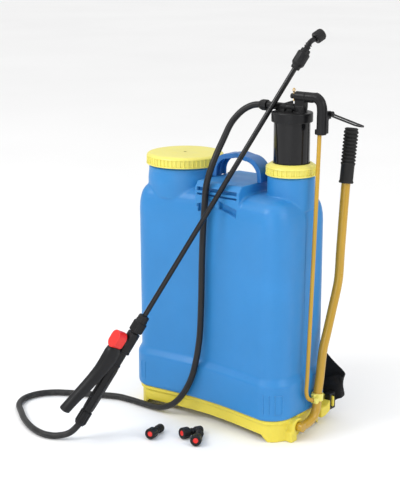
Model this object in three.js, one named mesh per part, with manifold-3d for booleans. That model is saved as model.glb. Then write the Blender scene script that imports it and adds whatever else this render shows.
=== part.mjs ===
// Lever-operated knapsack sprayer, millimetres, +Z up. Before the last step the tank's centre is at X = Y =
// 0
// with the floor at Z = 0: +X is the pump and lever side, -Y is the smooth front, +Y is the wearer's back.
import * as THREE from 'three';
import { mergeVertices } from 'three/addons/utils/BufferGeometryUtils.js';
import Module from 'manifold-3d';

const wasm = await Module();
wasm.setup();

// ---- driving dimensions -------------------------------------------------------------------------------
const GAP = 0.3;                                  // running and seating clearance between two pieces
const TANK = { width: 363.8, depth: 180, corner: 48.7, bottom: 43.4, shoulder: 448, wall: 3, dish: 15 };
const BODY_INSET = 4.2;                           // upper walls, set in from the band round the tank's foot
const BASE_INSET = 7.6;                           // base skirt, set in from the same band
const FILLER = { x: -104, y: -5, neck: 68.8, thread: 65.3, bore: 61.5, capRadius: 74.1, skirtBottom: 482.5,
  capTop: 502.8 };
const PUMP = { x: 132, y: 12, neck: 43, thread: 39.8, bore: 37.5, nutRadius: 46.6, skirtBottom: 486,
  nutTop: 507 };
const NECK_TOP = { filler: 494.5, pump: 496 };
const CHAMBER = { radius: 32.7, wall: 2.5, bottom: 436, lidRadius: 37.3, lidBottom: 581, lidTop: 597.8 };
const BARREL = { outer: 36.9, inner: 34.6, bottom: 345, flange: 39.6 };
const HEAD = { x: 151, z: 626.3, eye: 9.3, spigot: 5 };
const ROD_RADIUS = 3.75;
const ELBOW = { x: 195, radius: 9, bottom: 563 };
const ROD_X = 191.4;
const LEVER = { x: 193, radius: 8.5, pivotY: -33, pivotZ: 27 };
const LINK = { y: 3, z: 69.5, from: 188, to: 206, radius: 5.5 };
const GRIP = { radius: 13.5, length: 101, top: 563 };
const SHAFT_RADIUS = 6;
const HOSE_RADIUS = 6;
const HANDLE = { left: -28.5, right: 84.6, top: 520, thickness: 12, halfDepth: 16, foot: 466 };
const RECESS = { x: 25, halfWidth: 46, face: -70, depth: 8 };
const WEBBING = { width: 45, thickness: 2.2 };

// ---- shape helpers --------------------------------------------------------------------------------------
function weld(geometry) {
  const bare = geometry.clone();
  bare.deleteAttribute('normal');
  bare.deleteAttribute('uv');
  const merged = mergeVertices(bare, 1e-4);
  const index = Array.from(merged.index.array);
  const kept = [];
  for (let i = 0; i < index.length; i += 3) {
    const [a, b, c] = index.slice(i, i + 3);
    if (a !== b && b !== c && a !== c) kept.push(a, b, c);
  }
  const p = merged.attributes.position.array;
  let volume = 0;
  for (let i = 0; i < kept.length; i += 3) {
    const [a, b, c] = [kept[i] * 3, kept[i + 1] * 3, kept[i + 2] * 3];
    volume += p[a] * (p[b + 1] * p[c + 2] - p[b + 2] * p[c + 1])
      - p[a + 1] * (p[b] * p[c + 2] - p[b + 2] * p[c])
      + p[a + 2] * (p[b] * p[c + 1] - p[b + 1] * p[c]);
  }
  if (volume < 0) {
    for (let i = 0; i < kept.length; i += 3) [kept[i + 1], kept[i + 2]] = [kept[i + 2], kept[i + 1]];
  }
  merged.setIndex(kept);
  return merged;
}

function solid(geometry) {
  const welded = weld(geometry);
  return new wasm.Manifold(new wasm.Mesh({
    numProp: 3,
    vertProperties: Float32Array.from(welded.attributes.position.array),
    triVerts: Uint32Array.from(welded.index.array),
  }));
}

function geometryOf(manifold) {
  const mesh = manifold.getMesh();
  const geometry = new THREE.BufferGeometry();
  geometry.setAttribute('position', new THREE.BufferAttribute(Float32Array.from(mesh.vertProperties), 3));
  geometry.setIndex(Array.from(mesh.triVerts));
  return geometry;
}

const asSolid = (shape) => (shape instanceof THREE.BufferGeometry ? solid(shape) : shape);
const join = (...shapes) => shapes.map(asSolid).reduce((all, next) => all.add(next));
const cut = (shape, ...tools) => tools.map(asSolid).reduce((rest, tool) => rest.subtract(tool),
  asSolid(shape));

function box(x0, x1, y0, y1, z0, z1) {
  return new THREE.BoxGeometry(x1 - x0, y1 - y0, z1 - z0).translate((x0 + x1) / 2, (y0 + y1) / 2,
    (z0 + z1) / 2);
}

// Round bars along Z and along X; the second radius makes a taper.
function barZ(r, z0, z1, segments = 24, x = 0, y = 0, rTop = r) {
  return new THREE.CylinderGeometry(rTop, r, z1 - z0, segments).rotateX(Math.PI / 2).translate(x, y,
    (z0 + z1) / 2);
}

function barX(r, x0, x1, y, z, segments = 20) {
  return new THREE.CylinderGeometry(r, r, x1 - x0, segments).rotateZ(Math.PI / 2).translate((x0 + x1) / 2,
    y, z);
}

// Turned shape about the Z axis from [radius, z] points.
function turned(profile, segments = 24) {
  const points = profile.map(([r, z]) => new THREE.Vector2(r, z));
  return weld(new THREE.LatheGeometry(points, segments).rotateX(Math.PI / 2));
}

function ring(outer, inner, z0, z1, segments = 24) {
  return turned([[inner, z0], [outer, z0], [outer, z1], [inner, z1], [inner, z0]], segments);
}

function polygonRing(radius, sides) {
  const shape = new THREE.Shape();
  for (let i = 0; i < sides; i += 1) {
    const a = (i / sides) * 2 * Math.PI;
    const [x, y] = [radius * Math.cos(a), radius * Math.sin(a)];
    if (i) shape.lineTo(x, y);
    else shape.moveTo(x, y);
  }
  return shape;
}

// Round bar along a smooth curve through points.
function sweep(points, radius, sides = 12, steps = 24) {
  const path = new THREE.CatmullRomCurve3(points.map((p) => new THREE.Vector3(...p)), false, 'centripetal');
  return weld(new THREE.ExtrudeGeometry(polygonRing(radius, sides), {
    steps, bevelEnabled: false, extrudePath: path,
  }));
}

// Flat plate: an outline drawn in (u, v) and extruded. 'xz' stands it up facing -Y from y0 to y1,
// 'yz' stands it up facing X from x0 to x1.
function plate(outline, from, to, plane) {
  const shape = new THREE.Shape(outline.map(([u, v]) => new THREE.Vector2(u, v)));
  const flat = new THREE.ExtrudeGeometry(shape, { depth: to - from, bevelEnabled: false });
  if (plane === 'xz') return flat.rotateX(Math.PI / 2).translate(0, to, 0);
  if (plane === 'yz') {
    return flat.applyMatrix4(new THREE.Matrix4().set(0, 0, 1, from, 1, 0, 0, 0, 0, 1, 0, 0, 0, 0, 0, 1));
  }
  return flat.translate(0, 0, from);
}

// Closed skin over rings of points, each ring with the same count.
function loft(rings) {
  const count = rings[0].length;
  const positions = rings.flat(2);
  const index = [];
  for (let level = 0; level + 1 < rings.length; level += 1) {
    for (let i = 0; i < count; i += 1) {
      const [a, b] = [level * count + i, level * count + ((i + 1) % count)];
      index.push(a, b, b + count, a, b + count, a + count);
    }
  }
  for (const [level, flip] of [[0, true], [rings.length - 1, false]]) {
    const centre = positions.length / 3;
    const ringPoints = rings[level];
    for (let k = 0; k < 3; k += 1) positions.push(ringPoints.reduce((sum, p) => sum + p[k], 0) / count);
    for (let i = 0; i < count; i += 1) {
      const [a, b] = [level * count + i, level * count + ((i + 1) % count)];
      index.push(...(flip ? [b, a, centre] : [a, b, centre]));
    }
  }
  const geometry = new THREE.BufferGeometry();
  geometry.setAttribute('position', new THREE.BufferAttribute(Float32Array.from(positions), 3));
  geometry.setIndex(index);
  return weld(geometry);
}

// ---- tank and base sections ------------------------------------------------------------------------------
// Rounded rectangle set in from the tank's band, with its front and back dished towards the middle.
const CORNER_STEPS = 5;
const SIDE_STEPS = 8;
const FLAT_ENDS = 30;                             // width beside each corner that stays undished

function section(inset, z) {
  const [hw, hd] = [TANK.width / 2 - inset, TANK.depth / 2 - inset];
  const r = Math.max(TANK.corner - inset, 10);
  const points = [];
  const corners = [[hw - r, -(hd - r), -90], [hw - r, hd - r, 0], [-(hw - r), hd - r, 90],
    [-(hw - r), -(hd - r), 180]];
  corners.forEach(([cx, cy, start], k) => {
    for (let i = 0; i <= CORNER_STEPS; i += 1) {
      const a = THREE.MathUtils.degToRad(start + (90 * i) / CORNER_STEPS);
      points.push([cx + r * Math.cos(a), cy + r * Math.sin(a), z]);
    }
    if (k === 1 || k === 3) {
      const side = Math.sign(cy);
      for (let i = 1; i < SIDE_STEPS; i += 1) points.push([side * (hw - r) * (1 - (2 * i) / SIDE_STEPS),
        side * hd, z]);
    }
  });
  const reach = TANK.width / 2 - FLAT_ENDS;
  for (const p of points) {
    if (Math.abs(p[0]) >= reach) continue;
    p[1] -= Math.sign(p[1]) * TANK.dish * Math.cos((Math.PI * p[0]) / (2 * reach)) ** 1.3;
  }
  return points;
}

// [inset, z] up the tank's outside: band, slope, wall, rounded shoulder.
const TANK_PROFILE = [
  [3, TANK.bottom], [0.6, TANK.bottom + 3], [0, TANK.bottom + 8], [0, 107], [BODY_INSET, 127],
    [BODY_INSET, 402],
  [5.4, 414], [8.8, 426], [15, 435.5], [23.5, 442], [35, 446.3], [52, TANK.shoulder],
];

function tankShell() {
  const outside = loft(TANK_PROFILE.map(([inset, z]) => section(inset, z)));
  const inside = loft(TANK_PROFILE.map(([inset, z], i) => (
    section(inset + TANK.wall, i === 0 ? z + TANK.wall : Math.min(z, TANK.shoulder - TANK.wall)))));
  const [fx, fy, px, py] = [FILLER.x, FILLER.y, PUMP.x, PUMP.y];
  const fillerNeck = join(
    barZ(FILLER.neck, 425, 479, 36, fx, fy),
    barZ(77, 434, 462, 36, fx, fy, FILLER.neck),
    barZ(FILLER.thread, 479, NECK_TOP.filler, 36, fx, fy),
  );
  const pumpNeck = join(
    barZ(PUMP.neck, 425, 483, 28, px, py),
    barZ(54, 436, 466, 28, px, py, PUMP.neck),
    barZ(PUMP.thread, 483, NECK_TOP.pump, 28, px, py),
  );
  const left = RECESS.x - RECESS.halfWidth;
  const right = RECESS.x + RECESS.halfWidth;
  const saddle = plate([
    [RECESS.face, 425], [-RECESS.face, 425], [-RECESS.face, HANDLE.foot - 8],
      [-RECESS.face - 8, HANDLE.foot],
    [RECESS.face + 8, HANDLE.foot], [RECESS.face, HANDLE.foot - 8],
  ], left - 5, right + 5, 'yz');
  const slot = (z0, z1) => box(left, right, RECESS.face - 5, RECESS.face + RECESS.depth, z0, z1);
  const pocket = (side) => plate([
    [RECESS.x + side * 4, 436], [RECESS.x + side * 46, 424], [RECESS.x + side * 46, 409],
      [RECESS.x + side * 4, 421],
  ], RECESS.face - 5, RECESS.face + RECESS.depth, 'xz');
  return geometryOf(cut(
    join(outside, fillerNeck, pumpNeck, saddle),
    inside,
    barZ(FILLER.bore, 430, 520, 36, fx, fy),
    barZ(PUMP.bore, 422, 520, 28, px, py),
    box(left, right, -58, 58, 430, HANDLE.foot - TANK.wall),
    slot(449, 456.5),
    slot(441, 445),
    pocket(-1),
    pocket(1),
  ));
}

const BASE_TOP = TANK.bottom - GAP;
const SHAFT_END = { left: -181, right: LEVER.x - LEVER.radius - GAP };
const BUSH = { outer: 9, inner: SHAFT_RADIUS + 0.2 };
const LUG = { x0: 160, x1: 183, y0: 66, y1: 96 };

function baseShell() {
  const rings = [[BASE_INSET, 0], [BASE_INSET, 34], [3.6, 35.5], [3.6, BASE_TOP]];
  const outside = loft(rings.map(([inset, z]) => section(inset, z)));
  const inside = loft([[BASE_INSET + 4, -1], [BASE_INSET + 4, 36]].map(([inset, z]) => section(inset, z)));
  const { pivotY: py, pivotZ: pz } = LEVER;
  const boss = cut(
    barX(16, 165, 190, py, pz, 28),
    box(160, 200, -100, 60, -10, 0.4),
    box(160, 200, -100, 60, BASE_TOP, 60),
  );
  const foot = box(160, 188, py - 20, py - 2, 0, 20);
  const groove = join(
    barX(LEVER.radius + 1, SHAFT_END.right, 210, py, pz, 24),
    plate([[py, pz + 9.5], [py + 45, pz + 13], [py + 45, -60], [py - 8, pz - 8]], SHAFT_END.right, 210,
      'yz'),
  );
  const leftBoss = barX(13, -180, -165, py, pz, 24);
  const lug = (side) => {
    const [a, b] = side > 0 ? [LUG.x0, LUG.x1] : [-LUG.x1, -LUG.x0];
    return cut(
      plate([[52, 14], [LUG.y0, 14], [LUG.y1, 26], [LUG.y1, 46], [LUG.y1 - 6, 46], [LUG.y0 + 6, 34],
        [52, 34]], a, b, 'yz'),
      box(a + 4 * (side > 0), b - 4 * (side < 0), LUG.y1 - 14, LUG.y1 - 5, 10, 60),
    );
  };
  const frontArch = plate([[-152, -2], [-138, 13], [138, 13], [152, -2]], -120, 120, 'xz');
  const sideArch = plate([[-14, -2], [0, 9], [48, 9], [60, -2]], -220, 220, 'yz');
  return geometryOf(cut(
    join(cut(outside, inside), boss, foot, leftBoss, lug(1), lug(-1)),
    groove,
    frontArch,
    sideArch,
    barX(BUSH.outer + 0.2, -200, -160, py, pz, 24),
    barX(BUSH.outer + 0.2, 160, 200, py, pz, 24),
  ));
}

// ---- assembly
// -------------------------------------------------------------------------------------------------
const sprayer = new THREE.Group();
const FINISH = {
  blue: { color: 0x3a8fd9, roughness: 0.42 },
  handleBlue: { color: 0x2f7bd0, roughness: 0.45 },
  yellow: { color: 0xe6d83a, roughness: 0.4 },
  amber: { color: 0xcf9b19, roughness: 0.35 },
  black: { color: 0x232326, roughness: 0.45 },
  rubber: { color: 0x1c1c1e, roughness: 0.75 },
  webbing: { color: 0x151517, roughness: 0.9 },
  red: { color: 0xe1322d, roughness: 0.35 },
  white: { color: 0xe8e8e4, roughness: 0.5 },
  brass: { color: 0xc9a24a, roughness: 0.3, metalness: 1 },
  steel: { color: 0xb9bcc0, roughness: 0.3, metalness: 1 },
};
const MATERIAL = Object.fromEntries(Object.entries(FINISH).map(([name, values]) => (
  [name, new THREE.MeshStandardMaterial(values)])));

function add(name, shape, finish, parent = sprayer) {
  const geometry = shape instanceof THREE.BufferGeometry ? weld(shape) : geometryOf(shape);
  const mesh = new THREE.Mesh(geometry, MATERIAL[finish]);
  mesh.name = name;
  parent.add(mesh);
  return mesh;
}

// Tank, base, carry handle.
add('tank', tankShell(), 'blue');
add('base', baseShell(), 'yellow');

function carryHandle() {
  const arch = (inset) => {
    const [l, r, t] = [HANDLE.left + inset, HANDLE.right - inset, HANDLE.top - inset];
    const bend = 34 - inset;
    const points = [[l, HANDLE.foot + GAP]];
    for (let i = 0; i <= 6; i += 1) {
      const a = Math.PI - (i / 6) * (Math.PI / 2);
      points.push([l + bend + bend * Math.cos(a), t - 4 - bend + bend * Math.sin(a)]);
    }
    points.push([(l + r) / 2, t]);
    for (let i = 0; i <= 6; i += 1) {
      const a = Math.PI / 2 - (i / 6) * (Math.PI / 2);
      points.push([r - bend + bend * Math.cos(a), t - 4 - bend + bend * Math.sin(a)]);
    }
    points.push([r, HANDLE.foot + GAP]);
    return points;
  };
  const outline = [...arch(0), ...arch(HANDLE.thickness).reverse()];
  return plate(outline, -HANDLE.halfDepth, HANDLE.halfDepth, 'xz');
}
add('carry_handle', carryHandle(), 'handleBlue');

// Filler: cap with a ribbed skirt, gasket, breather, strainer basket.
function ribbed(radius, ribs, depth, z0, z1) {
  const shape = new THREE.Shape();
  for (let i = 0; i < ribs * 2; i += 1) {
    const a = (i / (ribs * 2)) * 2 * Math.PI;
    const r = i % 2 ? radius - depth : radius;
    if (i) shape.lineTo(r * Math.cos(a), r * Math.sin(a));
    else shape.moveTo(r, 0);
  }
  return new THREE.ExtrudeGeometry(shape, { depth: z1 - z0, bevelEnabled: false }).translate(0, 0, z0);
}

const filler = new THREE.Group();
filler.position.set(FILLER.x, FILLER.y, 0);
sprayer.add(filler);
add('filler_cap', cut(
  join(ribbed(FILLER.capRadius, 40, 1, FILLER.skirtBottom, FILLER.capTop - 3),
    barZ(FILLER.capRadius - 1, FILLER.capTop - 3, FILLER.capTop, 40, 0, 0, FILLER.capRadius - 6)),
  barZ(FILLER.capRadius - 4, FILLER.skirtBottom - 1, FILLER.capTop - 4, 36),
  barZ(2.2, 480, 510, 12),
), 'yellow', filler);
add('filler_gasket', ring(FILLER.thread - 0.5, FILLER.bore + 0.8, NECK_TOP.filler + GAP + 1.5,
  FILLER.capTop - 4 - GAP, 32),
  'rubber', filler);
add('cap_breather', turned([
  [0, FILLER.capTop - 9], [7, FILLER.capTop - 9], [7, FILLER.capTop - 4 - GAP],
    [1.9, FILLER.capTop - 4 - GAP],
  [1.9, FILLER.capTop - 1.5], [0, FILLER.capTop - 1.5],
], 16), 'rubber', filler);
const BASKET = { radius: 58, bottom: 405, wall: 1.8 };
add('filler_strainer', turned([
  [0, BASKET.bottom], [BASKET.radius - 4, BASKET.bottom], [BASKET.radius, NECK_TOP.filler - 2],
  [BASKET.radius, NECK_TOP.filler + GAP], [FILLER.thread - 0.5, NECK_TOP.filler + GAP],
  [FILLER.thread - 0.5, NECK_TOP.filler + 1.5], [BASKET.radius - BASKET.wall, NECK_TOP.filler + 1.5],
  [BASKET.radius - 4 - BASKET.wall, BASKET.bottom + BASKET.wall], [0, BASKET.bottom + BASKET.wall],
], 32), 'black', filler);

// Pump: fixed barrel and ring nut, moving air chamber with its piston.
const pump = new THREE.Group();
pump.position.set(PUMP.x, PUMP.y, 0);
sprayer.add(pump);
const FLANGE_BOTTOM = NECK_TOP.pump + 2 + 2 * GAP;
add('pump_ring_nut', cut(
  join(ribbed(PUMP.nutRadius, 24, 1.2, PUMP.skirtBottom, PUMP.nutTop - 5),
    barZ(PUMP.nutRadius - 1.4, PUMP.nutTop - 5, PUMP.nutTop, 28, 0, 0, PUMP.nutRadius - 8)),
  barZ(PUMP.thread + 1, PUMP.skirtBottom - 1, PUMP.nutTop - 5.7, 28),
  barZ(CHAMBER.radius + 0.9, 480, 520, 28),
), 'yellow', pump);
add('barrel_gasket', ring(BARREL.flange, PUMP.bore + 0.5, NECK_TOP.pump + GAP, NECK_TOP.pump + GAP + 1.8),
  'rubber', pump);
add('pump_barrel', turned([
  [5, BARREL.bottom], [BARREL.outer, BARREL.bottom], [BARREL.outer, FLANGE_BOTTOM],
    [BARREL.flange, FLANGE_BOTTOM],
  [BARREL.flange, FLANGE_BOTTOM + 2.2], [BARREL.inner, FLANGE_BOTTOM + 2.2],
    [BARREL.inner, BARREL.bottom + 4],
  [11, BARREL.bottom + 4], [11, BARREL.bottom + 12], [8.6, BARREL.bottom + 12], [8.6, BARREL.bottom + 4],
    [5, BARREL.bottom + 4],
  [5, BARREL.bottom],
], 28), 'white', pump);
const BALL = { radius: 7.5 };
const inletSeat = BARREL.bottom + 4 + Math.sqrt(BALL.radius ** 2 - 25) + GAP;
add('inlet_ball', new THREE.SphereGeometry(BALL.radius, 12, 8).translate(0, 0, inletSeat), 'steel', pump);
const PIPE = { radius: 7, bottom: 78 };
add('suction_pipe', ring(PIPE.radius, 4.2, PIPE.bottom, BARREL.bottom - GAP, 12), 'white', pump);
add('suction_strainer', cut(
  turned([[0, 54], [16, 54], [16, PIPE.bottom - 6], [PIPE.radius + 3, PIPE.bottom + 10],
    [PIPE.radius + GAP, PIPE.bottom + 10],
    [PIPE.radius + GAP, PIPE.bottom - GAP], [13, PIPE.bottom - 8], [13, 57], [0, 57]], 16),
  ...[0, 1, 2].map((i) => box(-20, 20, -2.5, 2.5, 60, 68).rotateZ((i * Math.PI) / 3)),
), 'black', pump);

add('air_chamber', turned([
  [5, CHAMBER.bottom], [CHAMBER.radius, CHAMBER.bottom], [CHAMBER.radius, CHAMBER.lidTop - 6],
  [CHAMBER.radius - CHAMBER.wall, CHAMBER.lidTop - 6], [CHAMBER.radius - CHAMBER.wall, CHAMBER.bottom + 4],
  [11, CHAMBER.bottom + 4], [11, CHAMBER.bottom + 12], [8.6, CHAMBER.bottom + 12],
    [8.6, CHAMBER.bottom + 4], [5, CHAMBER.bottom + 4],
  [5, CHAMBER.bottom],
], 28), 'black', pump);
add('delivery_ball', new THREE.SphereGeometry(BALL.radius, 12, 8)
  .translate(0, 0, CHAMBER.bottom + 4 + Math.sqrt(BALL.radius ** 2 - 25) + GAP), 'steel', pump);
add('piston_seal', turned([
  [8, CHAMBER.bottom - 4], [29, CHAMBER.bottom - 4], [31, CHAMBER.bottom - 14],
    [BARREL.inner - GAP, CHAMBER.bottom - 14],
  [BARREL.inner - GAP, CHAMBER.bottom - GAP], [8, CHAMBER.bottom - GAP], [8, CHAMBER.bottom - 4],
], 28), 'rubber', pump);
add('piston_retainer', turned([
  [5, CHAMBER.bottom - 10], [22, CHAMBER.bottom - 10], [22, CHAMBER.bottom - 4 - GAP],
    [7.6, CHAMBER.bottom - 4 - GAP],
  [7.6, CHAMBER.bottom - GAP], [5, CHAMBER.bottom - GAP], [5, CHAMBER.bottom - 10],
], 20), 'white', pump);

// Chamber lid: collar, column with the rod's eye, outlet arm with two gussets.
const lidLocal = HEAD.x - PUMP.x;
const NUT = { radius: 10, from: 62.6, to: 78, z: 605 };
add('chamber_lid', cut(
  join(
    turned([[0, CHAMBER.lidTop], [CHAMBER.lidRadius - 3, CHAMBER.lidTop],
      [CHAMBER.lidRadius - 3, CHAMBER.lidTop - 2.5], [CHAMBER.lidRadius, CHAMBER.lidTop - 2.5],
      [CHAMBER.lidRadius, CHAMBER.lidBottom], [CHAMBER.radius + GAP, CHAMBER.lidBottom],
      [CHAMBER.radius + GAP, CHAMBER.lidTop - 4], [0, CHAMBER.lidTop - 4]], 28),
    barZ(11.5, CHAMBER.lidTop - 1, 609, 16, lidLocal),
    box(lidLocal - 10, lidLocal + 10, -7, 7, 606, HEAD.z - 5),
    barX(HEAD.eye, lidLocal - 11, lidLocal + 11, 0, HEAD.z, 20),
    barX(7, NUT.to - PUMP.x + GAP, lidLocal - 6, 0, NUT.z + 0.5, 16),
    plate([[NUT.to - PUMP.x + 6, 602], [-30, 597], [0, 597], [lidLocal, 618], [lidLocal - 8, 622]], -2, 2,
      'xz'),
  ),
  barX(HEAD.spigot + GAP, lidLocal - 20, lidLocal + 20, 0, HEAD.z, 16),
  barZ(2.7, HEAD.z - 14, HEAD.z + 14, 10, lidLocal - 16),
), 'black', pump);
add('dip_tube', ring(3.5, 2, CHAMBER.bottom + 24, CHAMBER.lidTop - 4 - GAP, 10).translate(-16, 0, 0),
  'white', pump);

const hoseNut = (radius, bore, length) => cut(
  join(barZ(radius, 0, length * 0.7, 16), barZ(radius, length * 0.7, length, 16, 0, 0, radius * 0.82)),
  barZ(bore, -1, length + 1, 14),
);
add('pump_hose_nut', geometryOf(hoseNut(NUT.radius, HOSE_RADIUS + GAP, NUT.to - NUT.from))
  .rotateY(-Math.PI / 2).translate(NUT.to, PUMP.y, NUT.z), 'black');

// Elbow, pull rod, its bush, cotter pin and the lever's retaining loop.
const LOOP = { y: PUMP.y + 20, z: 598, pin: 2.4 };
const elbowBend = [[HEAD.x + 20, HEAD.z], [184, HEAD.z], [192.5, 619], [ELBOW.x, 608], [ELBOW.x, 588],
  [ELBOW.x, ELBOW.bottom]]
  .map(([x, z]) => [x, PUMP.y, z]);
add('elbow', cut(
  join(
    sweep(elbowBend, ELBOW.radius, 16, 16),
    barX(HEAD.eye, HEAD.x + 11 + GAP, HEAD.x + 25, PUMP.y, HEAD.z, 20),
    barX(HEAD.spigot, HEAD.x - 21, HEAD.x + 24, PUMP.y, HEAD.z, 16),
    box(ELBOW.x - 4, ELBOW.x + 4, PUMP.y + 6, LOOP.y - 3, ELBOW.bottom + 0.5, LOOP.z - 8),
    box(ELBOW.x - 5, ELBOW.x + 5, PUMP.y + 6, LOOP.y + 3, LOOP.z - 9, LOOP.z + 5),
    barX(LOOP.pin, ELBOW.x - 11, ELBOW.x + 11, LOOP.y, LOOP.z, 12),
  ),
  barZ(ROD_RADIUS + 0.6, ELBOW.bottom - 1, 590, 14, ROD_X, PUMP.y),
  barZ(1.7, HEAD.z - 20, HEAD.z + 20, 10, HEAD.x - 16, PUMP.y),
), 'black');
add('cotter_pin', join(
  barZ(1.3, HEAD.z - 9, HEAD.z + 9, 10, HEAD.x - 16, PUMP.y),
  new THREE.TorusGeometry(3, 1.1, 6, 12).rotateY(Math.PI / 2).translate(HEAD.x - 16, PUMP.y, HEAD.z + 10.5),
), 'brass');
const rodPath = [[ROD_X, PUMP.y, 588], [ROD_X, PUMP.y - 0.6, 556], [ROD_X, -11.3, 106],
  [ROD_X - 0.4, -12, 88], [ROD_X + 0.6, -8.5, 76],
  [ROD_X + 3.4, -1.5, LINK.z + 1], [ROD_X + 7.6, LINK.y, LINK.z], [LINK.to - 3, LINK.y, LINK.z]];
add('pull_rod', sweep(rodPath, ROD_RADIUS, 8, 44), 'amber');
add('link_bush', cut(
  barX(LINK.radius, LINK.from + 6, LINK.to, LINK.y, LINK.z, 18),
  sweep(rodPath, ROD_RADIUS + 0.5, 8, 44),
), 'yellow');
const loopReach = 116;
const loopTilt = Math.atan2(LOOP.z - (GRIP.top + 8), 113 - LOOP.y);
const LOOP_OUTER = 10.4;
const LOOP_INNER = 7;
const loopArc = (radius, turn) => Array.from({ length: 9 }, (_, i) => {
  const a = turn * (i / 8) * Math.PI;
  return [-turn * radius * Math.cos(a), loopReach - LOOP_OUTER + radius * Math.abs(Math.sin(a))];
});
const loopOutline = [
  [-LOOP_OUTER, 3.5], ...loopArc(LOOP_OUTER, 1), [LOOP_OUTER, 3.5], [LOOP_INNER, 3.5],
    ...loopArc(LOOP_INNER, -1), [-LOOP_INNER, 3.5],
];
const loopEye = (side) => cut(
  barX(5, ELBOW.x + side * 8.7 - 1.7, ELBOW.x + side * 8.7 + 1.7, LOOP.y, LOOP.z, 16),
  barX(LOOP.pin + GAP, ELBOW.x - 20, ELBOW.x + 20, LOOP.y, LOOP.z, 12),
);
add('retaining_loop', join(
  plate(loopOutline, -1.5, 1.5, 'xy').rotateX(-loopTilt).translate(ELBOW.x, LOOP.y, LOOP.z),
  loopEye(1),
  loopEye(-1),
), 'black');

// Lever: cranked tube with a solid hub, grip, clip and cross shaft.
const { x: lx, pivotY: py, pivotZ: pz } = LEVER;
const leverPath = [[py, pz], [-9, pz], [8.5, 33.4], [18, 46], [20.5, 64], [23, 83], [27.2, 101],
  [36.6, 157.6],
  [49.9, 193], [63.3, 228.6], [76.7, 264.2], [82.5, 284], [86.8, 339], [97.5, 454],
    [112, 558]].map(([y, z]) => [lx, y, z]);
add('lever', join(
  sweep(leverPath, LEVER.radius, 10, 34),
  barX(LEVER.radius, lx - LEVER.radius, lx + LEVER.radius, py, pz, 24),
), 'amber');
// the grip follows the lever's last straight run
const [gripFoot, gripHead] = leverPath.slice(-2);
const gripTilt = Math.atan2(gripHead[1] - gripFoot[1], gripHead[2] - gripFoot[2]);
function leverGrip() {
  const profile = [[LEVER.radius + GAP, -GRIP.length], [GRIP.radius, -GRIP.length],
    [GRIP.radius, -GRIP.length + 36]];
  const rings = 9;
  for (let i = 0; i < rings; i += 1) {
    const z = -GRIP.length + 38 + i * 6.6;
    profile.push([GRIP.radius - 2, z], [GRIP.radius - 2, z + 1.2], [GRIP.radius, z + 2],
      [GRIP.radius, z + 5.4]);
  }
  profile.push([GRIP.radius - 2, -2], [GRIP.radius - 4, 0], [0, 0], [0, -4], [LEVER.radius + GAP, -4],
    [LEVER.radius + GAP, -GRIP.length]);
  return turned(profile, 20).rotateX(-gripTilt).translate(lx, 112.6, GRIP.top);
}
add('lever_grip', leverGrip(), 'black');
add('lever_clip', cut(
  join(
    ring(11, LEVER.radius + GAP, -7, 7, 20),
    box(-3.5, 3.5, -17, -9.5, 1.5, 6.8),
  ),
).rotate([-6, 0, 0]).translate([lx, 21.4, 70.5]).subtract(solid(barX(LINK.radius + 0.6, 180, 210, LINK.y,
  LINK.z, 18))),
'yellow');
add('lever_shaft', barX(SHAFT_RADIUS, SHAFT_END.left, SHAFT_END.right - GAP, py, pz, 20), 'steel');
const bush = (from, to) => cut(barX(BUSH.outer, from, to, py, pz, 20),
  barX(BUSH.inner, from - 1, to + 1, py, pz, 20));
add('shaft_bush_right', bush(166, SHAFT_END.right - 0.6), 'black');
add('shaft_bush_left', bush(-179.6, -162), 'black');
add('shaft_washer', cut(barX(9.5, -186, -181 - GAP, py, pz, 20), barX(3, -190, -183, py, pz, 12)), 'black');

// ---- harness: webbing, pads, buckles and the bar that holds the straps at the top of the back
// -----------------
function ribbon(stations, width, thickness, steps) {
  const centre = new THREE.CatmullRomCurve3(stations.map(([p]) => new THREE.Vector3(...p)), false,
    'centripetal');
  const rings = [];
  for (let i = 0; i <= steps; i += 1) {
    const t = i / steps;
    const k = Math.min(Math.floor(t * (stations.length - 1)), stations.length - 2);
    const blend = t * (stations.length - 1) - k;
    const across = new THREE.Vector3(...stations[k][1]).normalize()
      .lerp(new THREE.Vector3(...stations[k + 1][1]).normalize(), blend);
    const along = centre.getTangent(t);
    across.addScaledVector(along, -across.dot(along)).normalize();
    const face = new THREE.Vector3().crossVectors(along, across);
    const c = centre.getPoint(t);
    rings.push([[-1, -1], [1, -1], [1, 1], [-1, 1]].map(([u, v]) => c.clone()
      .addScaledVector(across, (u * width) / 2).addScaledVector(face, (v * thickness) / 2).toArray()));
  }
  return loft(rings);
}

const strapStations = (side) => [
  [[34, 84, 438], [1, 0, 0]], [[36, 93, 400], [1, 0, 0.1]], [[42, 104, 350], [1, 0, 0.12]],
    [[54, 110, 290], [1, 0, 0.2]],
  [[70, 111, 230], [1, 0, 0.35]], [[91, 109, 176], [1, 0, 0.6]], [[118, 110, 126], [0.75, 0, 0.7]],
  [[144, 117, 93], [0.35, 0, 1]], [[168, 122, 76], [0.1, 0, 1]], [[184, 122.5, 70], [0, 0, 1]],
  [[192, 117, 67], [-0.1, 0, 1]], [[186, 110.5, 64], [-0.2, 0, 1]], [[170, 108, 55], [-0.4, 0, 0.9]],
  [[155, 105.5, 43], [-0.5, 0, 0.85]], [[146.5, 101.5, 37.5], [-0.3, 0, 0.95]],
    [[148, 96.5, 36.5], [0, 0, 1]],
  [[156, 95.5, 36.5], [0, 0, 1]],
].map(([c, w]) => [[side * c[0], c[1], c[2]], [side * w[0], w[1], w[2]]]);
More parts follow.
